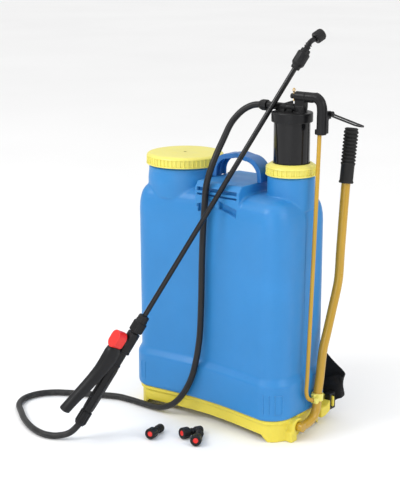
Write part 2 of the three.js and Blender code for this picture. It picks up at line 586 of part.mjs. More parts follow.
const padStations = (side) => [
  [[35.5, 101, 404], [1, 0, 0.1]], [[40, 112, 360], [1, 0, 0.12]], [[50, 119, 305], [1, 0, 0.18]],
  [[64, 121.5, 252], [1, 0, 0.3]], [[80, 120, 206], [1, 0, 0.5]],
].map(([c, w]) => [[side * c[0], c[1], c[2]], [side * w[0], w[1], w[2]]]);
const PAD = { width: 58, thickness: 9 };
for (const [side, label] of [[1, 'right'], [-1, 'left']]) {
  add(`strap_${label}`, ribbon(strapStations(side), WEBBING.width, WEBBING.thickness, 43), 'webbing');
  add(`shoulder_pad_${label}`, ribbon(padStations(side), PAD.width, PAD.thickness, 14), 'webbing');
  const [x0, x1] = side > 0 ? [168, 180] : [-180, -168];
  add(`strap_buckle_${label}`, cut(box(x0, x1, 84, 103, 20, 52), box(x0 - 1, x1 + 1, 89.5, 97.5, 24, 48)),
    'black');
}
add('strap_bar', cut(
  box(-62, 62, 71, 91, 440.5, 456),
  ...[1, -1].map((side) => box(side * 34 - 24, side * 34 + 24, 79, 87.5, 439, 450)),
), 'black');

// ---- wand: lance, trigger and nozzle, leaning on the outlet arm
// -----------------------------------------------
// Its own frame: Z runs up the lance from the hose nut's lower end, X points from the handle to its lever.
const WAND = { foot: [-126.8, -285.2, 30], rest: [99.4, -1.1, 610], leverSide: [-0.149, -0.8635, 0.481] };
const wand = new THREE.Group();
const wandZ = new THREE.Vector3(...WAND.rest).sub(new THREE.Vector3(...WAND.foot)).normalize();
const wandX = new THREE.Vector3(...WAND.leverSide);
wandX.addScaledVector(wandZ, -wandX.dot(wandZ)).normalize();
wand.quaternion.setFromRotationMatrix(
  new THREE.Matrix4().makeBasis(wandX, new THREE.Vector3().crossVectors(wandZ, wandX), wandZ));
wand.position.set(...WAND.foot);
sprayer.add(wand);

const LANCE = { radius: 4.7, bore: 3, from: 217, to: 765 };
const BODY = { deep: 10.4, wide: 7.9, from: 29.3, to: 200 };
const PIVOT = { x: 19, z: 143, pin: 2, halfLength: 10.6 };
const pivotPin = (radius, half) => (
  barX(radius, -half, half, 0, 0, 12).rotateZ(Math.PI / 2).translate(PIVOT.x, 0, PIVOT.z));
const VALVE = { z: 177, boss: 9, bore: 4.4 };
add('trigger_hose_nut', turned([
  [HOSE_RADIUS + 0.6, 0], [9, 0], [11.5, 6], [11.5, 29], [8.8, 29], [8.8, 16], [HOSE_RADIUS + 0.6, 16],
    [HOSE_RADIUS + 0.6, 0],
], 16), 'black', wand);
add('trigger_body', cut(
  join(
    barZ(8.4, 17, 31, 16),
    barZ(BODY.deep, BODY.from, 160, 16).scale(1, BODY.wide / BODY.deep, 1),
    barZ(12, 158, BODY.to, 16),
    barZ(8, 198, 215, 16),
    box(4, 23.5, -6, 6, 128, 156),
    barX(VALVE.boss, 2, 22, 0, VALVE.z, 20),
    ...[50, 66, 82, 98, 114].map((z) => box(-BODY.deep - 1.4, -6, -3, 3, z, z + 8)),
    box(8, 14, -2, 2, 58, 66),
  ),
  barX(VALVE.bore, 6, 24, 0, VALVE.z, 16),
  barZ(3.5, 16, 130, 10),
  pivotPin(PIVOT.pin + GAP, 20),
), 'black', wand);
const leverSideOutline = [[37, 158], [34, 120], [41, 80], [50, 48], [57, 19], [44, 16], [36, 44], [28, 64],
  [19, 100], [12, 131],
  [13, 152], [19, 158]];
const channelOutline = [[33.5, 170], [31, 120], [38, 79], [47, 47], [52.5, 22], [38, 10], [24, 62],
  [10, 100], [0, 131], [0, 170]];
add('squeeze_lever', cut(
  plate(leverSideOutline, -10.8, 10.8, 'xz'),
  plate(channelOutline, -8.3, 8.3, 'xz'),
  pivotPin(PIVOT.pin + GAP, 20),
), 'black', wand);
add('trigger_pin', pivotPin(PIVOT.pin, PIVOT.halfLength), 'steel', wand);
function stadium(halfLength, halfWidth, x0, x1) {
  const outline = [];
  for (let i = 0; i < 24; i += 1) {
    const a = (i / 24) * 2 * Math.PI;
    outline.push([halfWidth * Math.cos(a),
      VALVE.z + (halfLength - halfWidth) * Math.sign(Math.sin(a) + 1e-9) + halfWidth * Math.sin(a)]);
  }
  return plate(outline, x0, x1, 'yz');
}
add('valve_cap', cut(stadium(17, 12.5, 17, 36), stadium(14.5, 10, 16, 25)), 'red', wand);
add('valve_stem', barX(2.4, 7.5, 25 - GAP, 0, VALVE.z, 12), 'brass', wand);
add('valve_spring', cut(barX(4.1, 8, 24, 0, VALVE.z, 14), barX(2.8, 7, 25, 0, VALVE.z, 12)), 'steel', wand);
add('lance_lower_nut', turned([
  [8.3, 203], [12.5, 203], [13, 222], [10.5, 236], [LANCE.radius + GAP, 238], [LANCE.radius + GAP, 216.5],
    [8.3, 216.5], [8.3, 203],
], 16), 'black', wand);
add('lance_tube', ring(LANCE.radius, LANCE.bore, LANCE.from, LANCE.to, 12), 'black', wand);
add('lance_upper_nut', turned([
  [LANCE.radius + GAP, 757], [8, 758], [11.8, 768], [11.8, 790], [8, 797], [5.8, 797], [5.8, LANCE.to + 1],
    [LANCE.radius + GAP, LANCE.to + 1],
  [LANCE.radius + GAP, 757],
], 16), 'black', wand);
add('nozzle_neck', sweep([[0, 0, LANCE.to + 2], [0, 0, 795], [1.6, 0, 804], [1, 0, 812], [-4, 0, 820.5]],
  5.3, 12, 12), 'black', wand);
const nozzleHead = new THREE.Group();
nozzleHead.position.set(-4.4, 0, 821.1);
nozzleHead.rotation.y = -Math.atan2(5, 8.5);
wand.add(nozzleHead);
add('nozzle_cap', turned([
  [6, 0.5], [10.5, 0.5], [11, 3], [11, 15], [9, 19], [1.2, 19], [1.2, 16], [8, 16], [8, 4], [6, 4], [6, 0.5],
], 16), 'black', nozzleHead);
add('nozzle_core', barZ(6.5, 4.3, 15.6, 12), 'black', nozzleHead);

// ---- spare nozzles lying on the floor
// ----------------------------------------------------------------------
const spares = [[[-23, -206], 104], [[20, -166], 76], [[62, -176], 120]];
const spareTilt = Math.asin((10.5 - 7.5) / 32);
spares.forEach(([[x, y], heading], i) => {
  const spare = new THREE.Group();
  spare.rotation.set(0, Math.PI / 2 + spareTilt, THREE.MathUtils.degToRad(heading), 'ZYX');
  spare.position.set(x, y, 10.5 * Math.cos(spareTilt) + 1.15);
  sprayer.add(spare);
  add(`spare_nozzle_${i + 1}`, turned([
    [5.4, 0], [10, 0], [10.5, 2], [10.5, 15], [7, 18], [6, 19], [6, 30], [7.5, 31], [7.5, 46], [3, 46],
      [3, 3], [5.4, 3], [5.4, 0],
  ], 14), 'black', spare);
  add(`spare_insert_${i + 1}`, barZ(5, 0.6, 2.7, 12), 'red', spare);
});

// ---- hose from the pump's outlet nut down the front, round on the floor and up into the trigger
// -----------
const hoseRoute = [
  [NUT.to - 2, PUMP.y, NUT.z], [NUT.from, PUMP.y, NUT.z], [45.5, 10, 602.5], [30.5, 4, 594.5],
    [20, -5, 582], [15, -16, 568.5],
  [13.5, -36, 542], [11.5, -53, 517], [9, -67, 490], [6, -76, 460], [4, -78.5, 420], [1, -79, 380],
    [-2, -79, 320], [-4, -79, 243],
  [-7, -80, 174], [-10, -82, 144], [-14, -84.5, 118], [-21, -87, 90], [-34, -89, 62], [-51, -90.5, 38.5],
    [-69, -91.5, 22.5],
  [-89, -92.5, 12.5], [-113, -93, 8], [-145, -93, 6.6], [-178, -93.5, 6.4], [-206, -97, 6.4],
    [-240, -113, 6.4], [-290, -141, 6.4],
  [-322, -162, 6.4], [-342, -190, 6.4], [-345, -222, 6.4], [-330, -250, 6.4], [-298, -274, 6.4],
    [-262, -297, 6.4],
  [-225, -313.5, 6.4], [-200.5, -319.4, 6.4], [-179, -319.7, 6.4], [-159.1, -311.7, 7],
    [-139.7, -297.6, 13.2],
];
const alongWand = (distance) => WAND.foot.map((v, i) => v + distance * wandZ.getComponent(i));
add('hose', sweep([...hoseRoute, alongWand(0), alongWand(12)], HOSE_RADIUS, 8, 78), 'rubber');

// ---- put the origin under the middle of everything but the hose
// -----------------------------------------------
sprayer.updateMatrixWorld(true);
const bounds = new THREE.Box3();
sprayer.traverse((node) => {
  if (node.isMesh && node.name !== 'hose') bounds.union(new THREE.Box3().setFromObject(node, true));
});
sprayer.position.set(-(bounds.min.x + bounds.max.x) / 2, -(bounds.min.y + bounds.max.y) / 2, -bounds.min.z);

export default sprayer;
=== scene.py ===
import math

import bmesh
import bpy
import numpy as np
from mathutils import Matrix, Vector


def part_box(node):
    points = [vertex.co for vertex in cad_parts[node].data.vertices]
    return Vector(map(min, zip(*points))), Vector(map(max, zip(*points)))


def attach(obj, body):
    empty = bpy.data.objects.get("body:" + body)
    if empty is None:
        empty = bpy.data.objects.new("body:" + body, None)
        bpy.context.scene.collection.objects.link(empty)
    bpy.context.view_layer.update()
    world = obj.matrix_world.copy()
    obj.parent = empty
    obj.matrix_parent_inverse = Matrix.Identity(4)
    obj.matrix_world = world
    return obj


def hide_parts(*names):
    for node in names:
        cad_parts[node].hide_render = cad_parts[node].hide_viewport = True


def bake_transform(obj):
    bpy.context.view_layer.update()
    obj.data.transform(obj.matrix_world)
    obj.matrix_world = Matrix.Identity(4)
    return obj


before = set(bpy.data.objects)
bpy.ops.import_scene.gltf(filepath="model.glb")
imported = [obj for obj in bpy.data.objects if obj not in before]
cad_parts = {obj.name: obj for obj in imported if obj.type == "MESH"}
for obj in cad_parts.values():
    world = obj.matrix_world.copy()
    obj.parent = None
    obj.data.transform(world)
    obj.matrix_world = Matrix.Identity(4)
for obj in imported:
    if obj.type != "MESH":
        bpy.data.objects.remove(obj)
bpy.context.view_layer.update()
SCENE = bpy.context.scene

# ---- places -------------------------------------------------------------------------------------
# Sizes below are in millimetres about the tank's middle, as the drawing has them; the pump barrel says
# where that middle is in the row frame.
MM = 0.001
PUMP = (132.0, 12.0)
barrel_low, barrel_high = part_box("pump_barrel")
SHIFT = (barrel_low + barrel_high) / 2 - Vector((PUMP[0], PUMP[1], 0)) * MM
SHIFT.z = 0
TO_ROW = Matrix.Translation(SHIFT) @ Matrix.Diagonal((MM, MM, MM, 1))


def at(x, y, z):
    """A point of the drawing, in the row frame."""
    return TO_ROW @ Vector((x, y, z))


# ---- camera and light ------------------------------------------------------------------------------
CAMERA_AT = (1369.2, -1734.3, 907.5)
CAMERA_FORWARD = Vector((-0.61802, 0.74363, -0.25508))
CAMERA_UP = Vector((-0.16056, 0.19823, 0.96692))


def add_camera():
    data = bpy.data.cameras.new("camera")
    data.sensor_fit = "VERTICAL"
    data.sensor_height = 36
    data.lens = 86.86
    camera = bpy.data.objects.new("camera", data)
    SCENE.collection.objects.link(camera)
    back = -CAMERA_FORWARD.normalized()
    right = CAMERA_UP.cross(back).normalized()
    up = back.cross(right)
    camera.matrix_world = Matrix.Translation(at(*CAMERA_AT)) @ Matrix((right, up,
        back)).transposed().to_4x4()
    SCENE.camera = camera


def add_area(name, place, target, size, power, colour=(1, 1, 1)):
    data = bpy.data.lights.new(name, "AREA")
    data.shape = "RECTANGLE"
    data.size, data.size_y = size
    data.energy = power
    data.color = colour
    lamp = bpy.data.objects.new(name, data)
    lamp.location = place
    lamp.rotation_euler = (Vector(target) - Vector(place)).to_track_quat("-Z", "Y").to_euler()
    SCENE.collection.objects.link(lamp)


def add_studio():
    world = bpy.data.worlds.new("studio")
    SCENE.world = world
    world.use_nodes = True
    tree = world.node_tree
    direction = tree.nodes.new("ShaderNodeTexCoord")
    split = tree.nodes.new("ShaderNodeSeparateXYZ")
    tree.links.new(direction.outputs["Generated"], split.inputs[0])
    sky = tree.nodes.new("ShaderNodeMapRange")
    for socket, value in (("From Min", 0.0), ("From Max", 0.9), ("To Min", 0.50), ("To Max", 1.20)):
        sky.inputs[socket].default_value = value
    tree.links.new(split.outputs["Z"], sky.inputs["Value"])
    background = tree.nodes["Background"]
    background.inputs[0].default_value = (1, 1, 1, 1)
    tree.links.new(sky.outputs["Result"], background.inputs[1])
    SCENE.view_settings.view_transform = "Standard"
    add_area("key", (-1.2, -2.2, 2.6), (0, 0, 0.3), (1.3, 1.0), 44)
    add_area("side", (2.6, 0.2, 1.5), (0.1, 0, 0.3), (1.2, 1.8), 20)
    add_area("front", (0.9, -2.8, 0.9), (0, 0, 0.25), (1.8, 1.2), 14)
    mesh = bpy.data.meshes.new("floor")
    size = 30
    mesh.from_pydata([(-size, -size, 0), (size, -size, 0), (size, size, 0), (-size, size, 0)], [],
        [(0, 1, 2, 3)])
    floor = bpy.data.objects.new("floor", mesh)
    SCENE.collection.objects.link(floor)
    floor.location.z = -0.0004
    floor.data.materials.append(studio_floor())


# ---- materials ---------------------------------------------------------------------------------------
class Nodes:
    """A short way to write a material's node tree, in the object's own coordinates."""

    def __init__(self, name, colour, roughness, **settings):
        self.material = bpy.data.materials.new(name)
        self.material.use_nodes = True
        self.tree = self.material.node_tree
        self.shader = self.tree.nodes["Principled BSDF"]
        self.shader.inputs["Base Color"].default_value = (*colour, 1)
        self.shader.inputs["Roughness"].default_value = roughness
        for socket, value in settings.items():
            self.shader.inputs[socket.replace("_", " ")].default_value = value
        self.place = self.add("ShaderNodeTexCoord").outputs["Object"]
        self.geometry = self.add("ShaderNodeNewGeometry")

    def add(self, kind, **values):
        node = self.tree.nodes.new(kind)
        for key, value in values.items():
            setattr(node, key, value)
        return node

    def link(self, source, target):
        self.tree.links.new(source, target)

    def noise(self, scale, detail=3, roughness=0.5, stretch=None):
        node = self.add("ShaderNodeTexNoise")
        node.inputs["Scale"].default_value = scale
        node.inputs["Detail"].default_value = detail
        node.inputs["Roughness"].default_value = roughness
        source = self.place
        if stretch:
            mapping = self.add("ShaderNodeMapping")
            mapping.inputs["Scale"].default_value = stretch
            self.link(source, mapping.inputs["Vector"])
            source = mapping.outputs["Vector"]
        self.link(source, node.inputs["Vector"])
        return node.outputs["Fac"]

    def math(self, operation, a, b=0.0, c=None):
        node = self.add("ShaderNodeMath", operation=operation)
        for socket, value in zip(node.inputs, (a, b, c)):
            if value is None:
                continue
            if isinstance(value, (int, float)):
                socket.default_value = value
            else:
                self.link(value, socket)
        return node.outputs[0]

    def ramp(self, source, low, high, low_value=0.0, high_value=1.0):
        node = self.add("ShaderNodeMapRange")
        node.inputs["From Min"].default_value = low
        node.inputs["From Max"].default_value = high
        node.inputs["To Min"].default_value = low_value
        node.inputs["To Max"].default_value = high_value
        self.link(source, node.inputs["Value"])
        return node.outputs["Result"]

    def mix(self, factor, a, b):
        node = self.add("ShaderNodeMix", data_type="RGBA")
        for socket, value in ((node.inputs["Factor"], factor), (node.inputs["A"], a), (node.inputs["B"], b)):
            if isinstance(value, (int, float)):
                socket.default_value = value
            elif isinstance(value, (tuple, list)):
                socket.default_value = (*value, 1)
            else:
                self.link(value, socket)
        return node.outputs["Result"]

    def bumps(self, *layers):
        """Stacks (height, strength, distance in metres) bumps on the normal."""
        normal = None
        for height, strength, distance in layers:
            bump = self.add("ShaderNodeBump")
            bump.inputs["Strength"].default_value = strength
            bump.inputs["Distance"].default_value = distance
            self.link(height, bump.inputs["Height"])
            if normal is not None:
                self.link(normal, bump.inputs["Normal"])
            normal = bump.outputs["Normal"]
        self.link(normal, self.shader.inputs["Normal"])

    def colour(self, source):
        self.link(source, self.shader.inputs["Base Color"])

    def rough(self, source):
        self.link(source, self.shader.inputs["Roughness"])


def tint(colour, factor):
    return tuple(min(1.0, channel * factor) for channel in colour)


def moulded(name, colour, roughness, grain=900, grain_height=0.00004, wave=18, wave_height=0.0006,
    wear=0.25, dust=0.12, vary=0.07, **settings):
    """Moulded plastic: cloudy colour, eroded grain, slow waviness, paler worn edges, dust on top."""
    n = Nodes(name, colour, roughness, **settings)
    cloud = n.noise(wave, 4, 0.6)
    base = n.mix(n.ramp(cloud, 0.3, 0.7), tint(colour, 1 - vary), tint(colour, 1 + vary))
    speck = n.ramp(n.noise(260, 2, 0.6), 0.62, 0.75, 0, 0.35)
    base = n.mix(speck, base, tint(colour, 0.86))
    edge = n.ramp(n.geometry.outputs["Pointiness"], 0.53, 0.60, 0, wear)
    edge = n.math("MULTIPLY", edge, n.ramp(n.noise(60, 5, 0.7), 0.35, 0.65))
    worn = tuple(c + (0.75 - c) * 0.3 for c in colour)
    base = n.mix(edge, base, worn)
    split = n.add("ShaderNodeSeparateXYZ")
    n.link(n.geometry.outputs["Normal"], split.inputs[0])
    up = n.ramp(split.outputs["Z"], 0.6, 1.0, 0, dust)
    dusty = n.math("MULTIPLY", up, n.ramp(n.noise(35, 6, 0.65), 0.35, 0.7))
    n.colour(n.mix(dusty, base, (0.62, 0.6, 0.56)))
    scratches = n.ramp(n.noise(30, 5, 0.7, (1, 9, 0.35)), 0.55, 0.75, 0, 0.12)
    n.rough(n.math("ADD", n.math("ADD", n.ramp(n.noise(40, 5), 0.3, 0.7, roughness - 0.05,
        roughness + 0.06), scratches), dusty))
    n.bumps((n.noise(wave * 1.7, 2), 0.35, wave_height), (n.noise(grain, 2, 0.6), 0.5, grain_height))
    return n.material


def blown_blue():
    return moulded("tank_blue", (0.022, 0.21, 0.52), 0.42, grain=700, wave=9, wave_height=0.0022,
        vary=0.05, wear=0.12, dust=0.06, Subsurface_Weight=0.08, Subsurface_Radius=(0.004, 0.006, 0.009),
        Subsurface_Scale=1.0, Specular_IOR_Level=0.45)


def handle_blue():
    return moulded("handle_blue", (0.014, 0.145, 0.43), 0.36, grain=500, wave=25, wear=0.12, dust=0.05)


def base_yellow():
    return moulded("base_yellow", (0.72, 0.60, 0.06), 0.40, grain=500, wave=14, vary=0.045, wear=0.15,
        dust=0.06, Subsurface_Weight=0.06, Subsurface_Radius=(0.006, 0.004, 0.001), Subsurface_Scale=1.0)


def cap_yellow():
    return moulded("cap_yellow", (0.74, 0.67, 0.135), 0.33, grain=420, wave=20, vary=0.04, wear=0.1,
        dust=0.05, Subsurface_Weight=0.06, Subsurface_Radius=(0.006, 0.004, 0.001), Subsurface_Scale=1.0)


def black_satin(name="black_satin", colour=(0.0075, 0.0075, 0.0085), roughness=0.36):
    return moulded(name, colour, roughness, grain=1100, grain_height=0.00006, wave=30, wear=0.12, dust=0.02,
                   vary=0.12, Specular_IOR_Level=0.24)


def black_gloss():
    return moulded("black_gloss", (0.005, 0.005, 0.006), 0.16, grain=600, grain_height=0.00001, wave=22,
        wave_height=0.0004, wear=0.08, dust=0.015, vary=0.1, Specular_IOR_Level=0.3)


def red_plastic():
    return moulded("red_plastic", (0.72, 0.022, 0.016), 0.33, grain=700, wave=30, wear=0.15, dust=0.04,
                   Subsurface_Weight=0.05, Subsurface_Radius=(0.004, 0.001, 0.001), Subsurface_Scale=1.0)


def natural_plastic():
    return moulded("natural_plastic", (0.72, 0.72, 0.68), 0.45, grain=600, wave=16, wear=0.05,
                   Subsurface_Weight=0.2, Subsurface_Radius=(0.005, 0.005, 0.004), Subsurface_Scale=1.0)


def seal_rubber():
    return moulded("seal_rubber", (0.02, 0.02, 0.02), 0.7, grain=1500, wave=40, wear=0.1)


def amber_paint():
    """Powder coat on steel tube: orange peel under a clear gloss, scuffed with chips in scattered patches.
    """
    colour = (0.46, 0.265, 0.007)
    n = Nodes("amber_paint", colour, 0.33, Coat_Weight=0.35, Coat_Roughness=0.18)
    cloud = n.ramp(n.noise(12, 4), 0.3, 0.7)
    base = n.mix(cloud, tint(colour, 0.93), tint(colour, 1.06))
    chips = n.ramp(n.noise(95, 6, 0.75), 0.69, 0.72)
    chips = n.math("MULTIPLY", chips, n.ramp(n.noise(7, 2), 0.52, 0.66))
    n.colour(n.mix(n.math("MULTIPLY", chips, 0.55), base, (0.22, 0.13, 0.03)))
    n.rough(n.ramp(n.noise(60, 5), 0.3, 0.7, 0.27, 0.42))
    n.bumps((n.noise(420, 2), 0.35, 0.00012), (n.noise(1300, 1), 0.2, 0.00003))
    return n.material


def hose_pvc():
    """Extruded hose: fine lengthwise drawing lines, a slightly greasy sheen and floor dust low down."""
    colour = (0.010, 0.010, 0.011)
    n = Nodes("hose_pvc", colour, 0.36, Specular_IOR_Level=0.3)
    uv = n.add("ShaderNodeUVMap", uv_map="along")
    split = n.add("ShaderNodeSeparateXYZ")
    n.link(uv.outputs["UV"], split.inputs[0])
    draw = n.math("SINE", n.math("MULTIPLY", split.outputs["X"], 2 * math.pi * 30))
    place = n.add("ShaderNodeSeparateXYZ")
    n.link(n.place, place.inputs[0])
    low = n.ramp(place.outputs["Z"], 0.0, 0.03, 0.16, 0.0)
    dusty = n.math("MULTIPLY", low, n.ramp(n.noise(90, 5, 0.7), 0.4, 0.7))
    base = n.mix(n.ramp(n.noise(25, 4), 0.3, 0.7), tint(colour, 0.85), tint(colour, 1.3))
    n.colour(n.mix(dusty, base, (0.24, 0.23, 0.21)))
    n.rough(n.math("ADD", n.ramp(n.noise(50, 4), 0.3, 0.7, 0.33, 0.46), dusty))
    n.bumps((draw, 0.25, 0.00004), (n.noise(900, 2), 0.3, 0.00003))
    return n.material


def woven(name, colour, pitch, rib, sheen=0.05):
    """Webbing from its own UVs in metres: a herringbone of crowned yarns."""
    n = Nodes(name, colour, 0.82, Sheen_Weight=sheen, Sheen_Roughness=0.5, Specular_IOR_Level=0.2)
    uv = n.add("ShaderNodeUVMap", uv_map="weave")
    split = n.add("ShaderNodeSeparateXYZ")
    n.link(uv.outputs["UV"], split.inputs[0])
    across, along = split.outputs["X"], split.outputs["Y"]
    zigzag = n.math("PINGPONG", across, rib)
    warp = n.math("SINE", n.math("MULTIPLY", across, 2 * math.pi / (pitch * 1.1)))
    twill = n.math("SINE", n.math("MULTIPLY", n.math("ADD", along, zigzag), 2 * math.pi / pitch))
    height = n.math("ADD", n.math("MULTIPLY", n.math("ADD", warp, 1), 0.5), twill)
    fuzz = n.noise(2500, 3, 0.7)
    # painted shade and highlight: the webbing's colour follows the weave's height, darker in its dips and
    # lighter on the yarn crowns
    painted_weave_shade = n.ramp(height, -1, 2, 0.0, 1.0)
    base = n.mix(painted_weave_shade, tint(colour, 0.55), tint(colour, 1.7))
    fade = n.ramp(n.noise(18, 5, 0.6), 0.4, 0.75, 0, 0.3)
    n.colour(n.mix(fade, base, tint(colour, 2.3)))
    n.rough(n.ramp(fuzz, 0.3, 0.7, 0.74, 0.92))
    n.bumps((height, 0.9, 0.00035), (fuzz, 0.4, 0.00012))
    return n.material


def pad_cloth():
    """Coarse plain-woven pad cover."""
    colour = (0.008, 0.008, 0.009)
    n = Nodes("pad_cloth", colour, 0.85, Sheen_Weight=0.06, Sheen_Roughness=0.45, Specular_IOR_Level=0.2)
    uv = n.add("ShaderNodeUVMap", uv_map="weave")
    split = n.add("ShaderNodeSeparateXYZ")
    n.link(uv.outputs["UV"], split.inputs[0])
    pitch = 0.0011
    one = n.math("SINE", n.math("MULTIPLY", split.outputs["X"], 2 * math.pi / pitch))
    two = n.math("SINE", n.math("MULTIPLY", split.outputs["Y"], 2 * math.pi / pitch))
    weave = n.math("MULTIPLY", one, two)
    # painted shade and highlight: the cloth's colour follows the weave's height, darker in its dips and
    # lighter where the yarns cross over
    base = n.mix(n.ramp(weave, -1, 1), tint(colour, 0.6), tint(colour, 1.8))
    n.colour(n.mix(n.ramp(n.noise(20, 5), 0.45, 0.75, 0, 0.4), base, tint(colour, 2.6)))
    n.rough(n.ramp(n.noise(1800, 2), 0.3, 0.7, 0.78, 0.93))
    n.bumps((n.noise(45, 3), 0.4, 0.0012), (weave, 0.8, 0.00025))
    return n.material


def thread():
    n = Nodes("thread", (0.05, 0.05, 0.055), 0.6, Sheen_Weight=0.3)
    n.bumps((n.noise(3000, 2), 0.5, 0.0001))
    n.rough(n.ramp(n.noise(900, 2), 0.3, 0.7, 0.5, 0.75))
    return n.material


def metal(name, colour, roughness, brush=(1, 1, 14), tarnish=0.3):
    """Plain metal: brushed roughness with dull patches."""
    n = Nodes(name, colour, roughness, Metallic=1.0)
    patch = n.ramp(n.noise(70, 5, 0.65), 0.45, 0.75, 0, tarnish)
    n.colour(n.mix(patch, colour, tint(colour, 0.55)))
    lines = n.noise(700, 2, 0.6, brush)
    n.rough(n.math("ADD", n.ramp(lines, 0.3, 0.7, roughness - 0.07, roughness + 0.1), patch))
    n.bumps((lines, 0.3, 0.00003))
    return n.material


def studio_floor():
    n = Nodes("studio_floor", (0.9, 0.9, 0.9), 0.55)
    n.colour(n.mix(n.ramp(n.noise(0.8, 2), 0.3, 0.7), (0.90, 0.90, 0.90), (0.93, 0.93, 0.93)))
    n.rough(n.ramp(n.noise(3, 3), 0.3, 0.7, 0.5, 0.6))
    return n.material


LOOK = {
    "blue": blown_blue(),
    "handle": handle_blue(),
    "base": base_yellow(),
    "cap": cap_yellow(),
    "amber": amber_paint(),
    "black": black_satin(),
    "grip": black_satin("grip_black", (0.011, 0.011, 0.011), 0.55),
    "gloss": black_gloss(),
    "red": red_plastic(),
    "white": natural_plastic(),
    "rubber": seal_rubber(),
    "hose": hose_pvc(),
    "webbing": woven("webbing", (0.007, 0.007, 0.008), 0.0016, 0.006),
    "pad": pad_cloth(),
    "thread": thread(),
    "brass": metal("brass", (0.80, 0.55, 0.20), 0.28),
    "steel": metal("steel", (0.58, 0.59, 0.60), 0.3),
}

# ---- mesh building ---------------------------------------------------------------------------------
def mesh_object(name, points, faces, look, uv=None, uv_name="along", sharp=38):
    mesh = bpy.data.meshes.new(name)
    mesh.from_pydata([tuple(p) for p in points], [], faces)
    if uv is not None:
        layer = mesh.uv_layers.new(name=uv_name)
        for loop in mesh.loops:
            layer.data[loop.index].uv = uv[loop.vertex_index]
    build = bmesh.new()
    build.from_mesh(mesh)
    bmesh.ops.recalc_face_normals(build, faces=build.faces)
    build.to_mesh(mesh)
    build.free()
    mesh.shade_smooth()
    mesh.set_sharp_from_angle(angle=math.radians(sharp))
    obj = bpy.data.objects.new(name, mesh)
    SCENE.collection.objects.link(obj)
    mesh.materials.append(LOOK[look])
    return obj


def join(name, *objs):
    """One object out of several, keeping each one's materials."""
    bpy.ops.object.select_all(action="DESELECT")
    for obj in objs:
        obj.select_set(True)
    bpy.context.view_layer.objects.active = objs[0]
    bpy.ops.object.join()
    objs[0].name = name
    return objs[0]


def apply_modifiers(obj):
    graph = bpy.context.evaluated_depsgraph_get()
    mesh = bpy.data.meshes.new_from_object(obj.evaluated_get(graph))
    obj.modifiers.clear()
    old = obj.data
    obj.data = mesh
    bpy.data.meshes.remove(old)
    return obj


def fuse(obj, voxel, rounds=4):
    """Runs overlapping shells into one moulded skin with soft fillets."""
    look = obj.data.materials[0]
    remesh = obj.modifiers.new("fuse", "REMESH")
    remesh.mode = "VOXEL"
    remesh.voxel_size = voxel
    smooth = obj.modifiers.new("soften", "SMOOTH")
    smooth.factor = 0.5
    smooth.iterations = rounds
    apply_modifiers(obj)
    obj.data.materials.clear()
    obj.data.materials.append(look)
    obj.data.shade_smooth()
    return obj


def place(obj, body, *nodes, slot=None):
    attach(obj, body)
    if nodes:
        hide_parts(*nodes)
    return obj


def softened(node, look, voxel, rounds=3):
    """A copy of a moulded CAD piece with its edges rounded, for the piece to be shown by."""
    obj = bpy.data.objects.new(node + "_look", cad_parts[node].data.copy())
    SCENE.collection.objects.link(obj)
    obj.data.materials.clear()
    obj.data.materials.append(LOOK[look])
    return fuse(obj, voxel, rounds)


def curve_points(points, count):
    """Centripetal Catmull-Rom through points, as count + 1 points a like parameter apart."""
    p = [np.array(q, float) for q in points]
    p = [2 * p[0] - p[1]] + p + [2 * p[-1] - p[-2]]
    spans = len(p) - 3
    out = []
    for i in range(count + 1):
        t = i / count * spans
        k = min(int(t), spans - 1)
        t -= k
        a, b, c, d = p[k:k + 4]
        u1 = np.linalg.norm(b - a) ** 0.5
        u2 = u1 + np.linalg.norm(c - b) ** 0.5
        u3 = u2 + np.linalg.norm(d - c) ** 0.5
        u = u1 + t * (u2 - u1)
        a1 = (u1 - u) / u1 * a + u / u1 * b
        a2 = (u2 - u) / (u2 - u1) * b + (u - u1) / (u2 - u1) * c
        a3 = (u3 - u) / (u3 - u2) * c + (u - u2) / (u3 - u2) * d
        b1 = (u2 - u) / u2 * a1 + u / u2 * a2
        b2 = (u3 - u) / (u3 - u1) * a2 + (u - u1) / (u3 - u1) * a3
        out.append((u2 - u) / (u2 - u1) * b1 + (u - u1) / (u2 - u1) * b2)
    return np.array(out)


def even(points, step):
    """The same line with points an even step apart."""
    lengths = np.concatenate([[0], np.cumsum(np.linalg.norm(np.diff(points, axis=0), axis=1))])
    count = max(int(round(lengths[-1] / step)), 2)
    marks = np.linspace(0, lengths[-1], count + 1)
    return np.stack([np.interp(marks, lengths, points[:, k]) for k in range(3)], axis=1), lengths[-1]


def skin(rings, closed=True):
    """Quads over a list of rings with flat-fan ends."""
    count = len(rings[0])
    points = [p for ring in rings for p in ring]
    faces = []
    for level in range(len(rings) - 1):
        for i in range(count):
            a = level * count + i
            b = level * count + (i + 1) % count
            faces.append((a, b, b + count, a + count))
    if closed:
        faces.append(tuple(range(count)))
        last = (len(rings) - 1) * count
        faces.append(tuple(last + i for i in range(count)))
    return points, faces


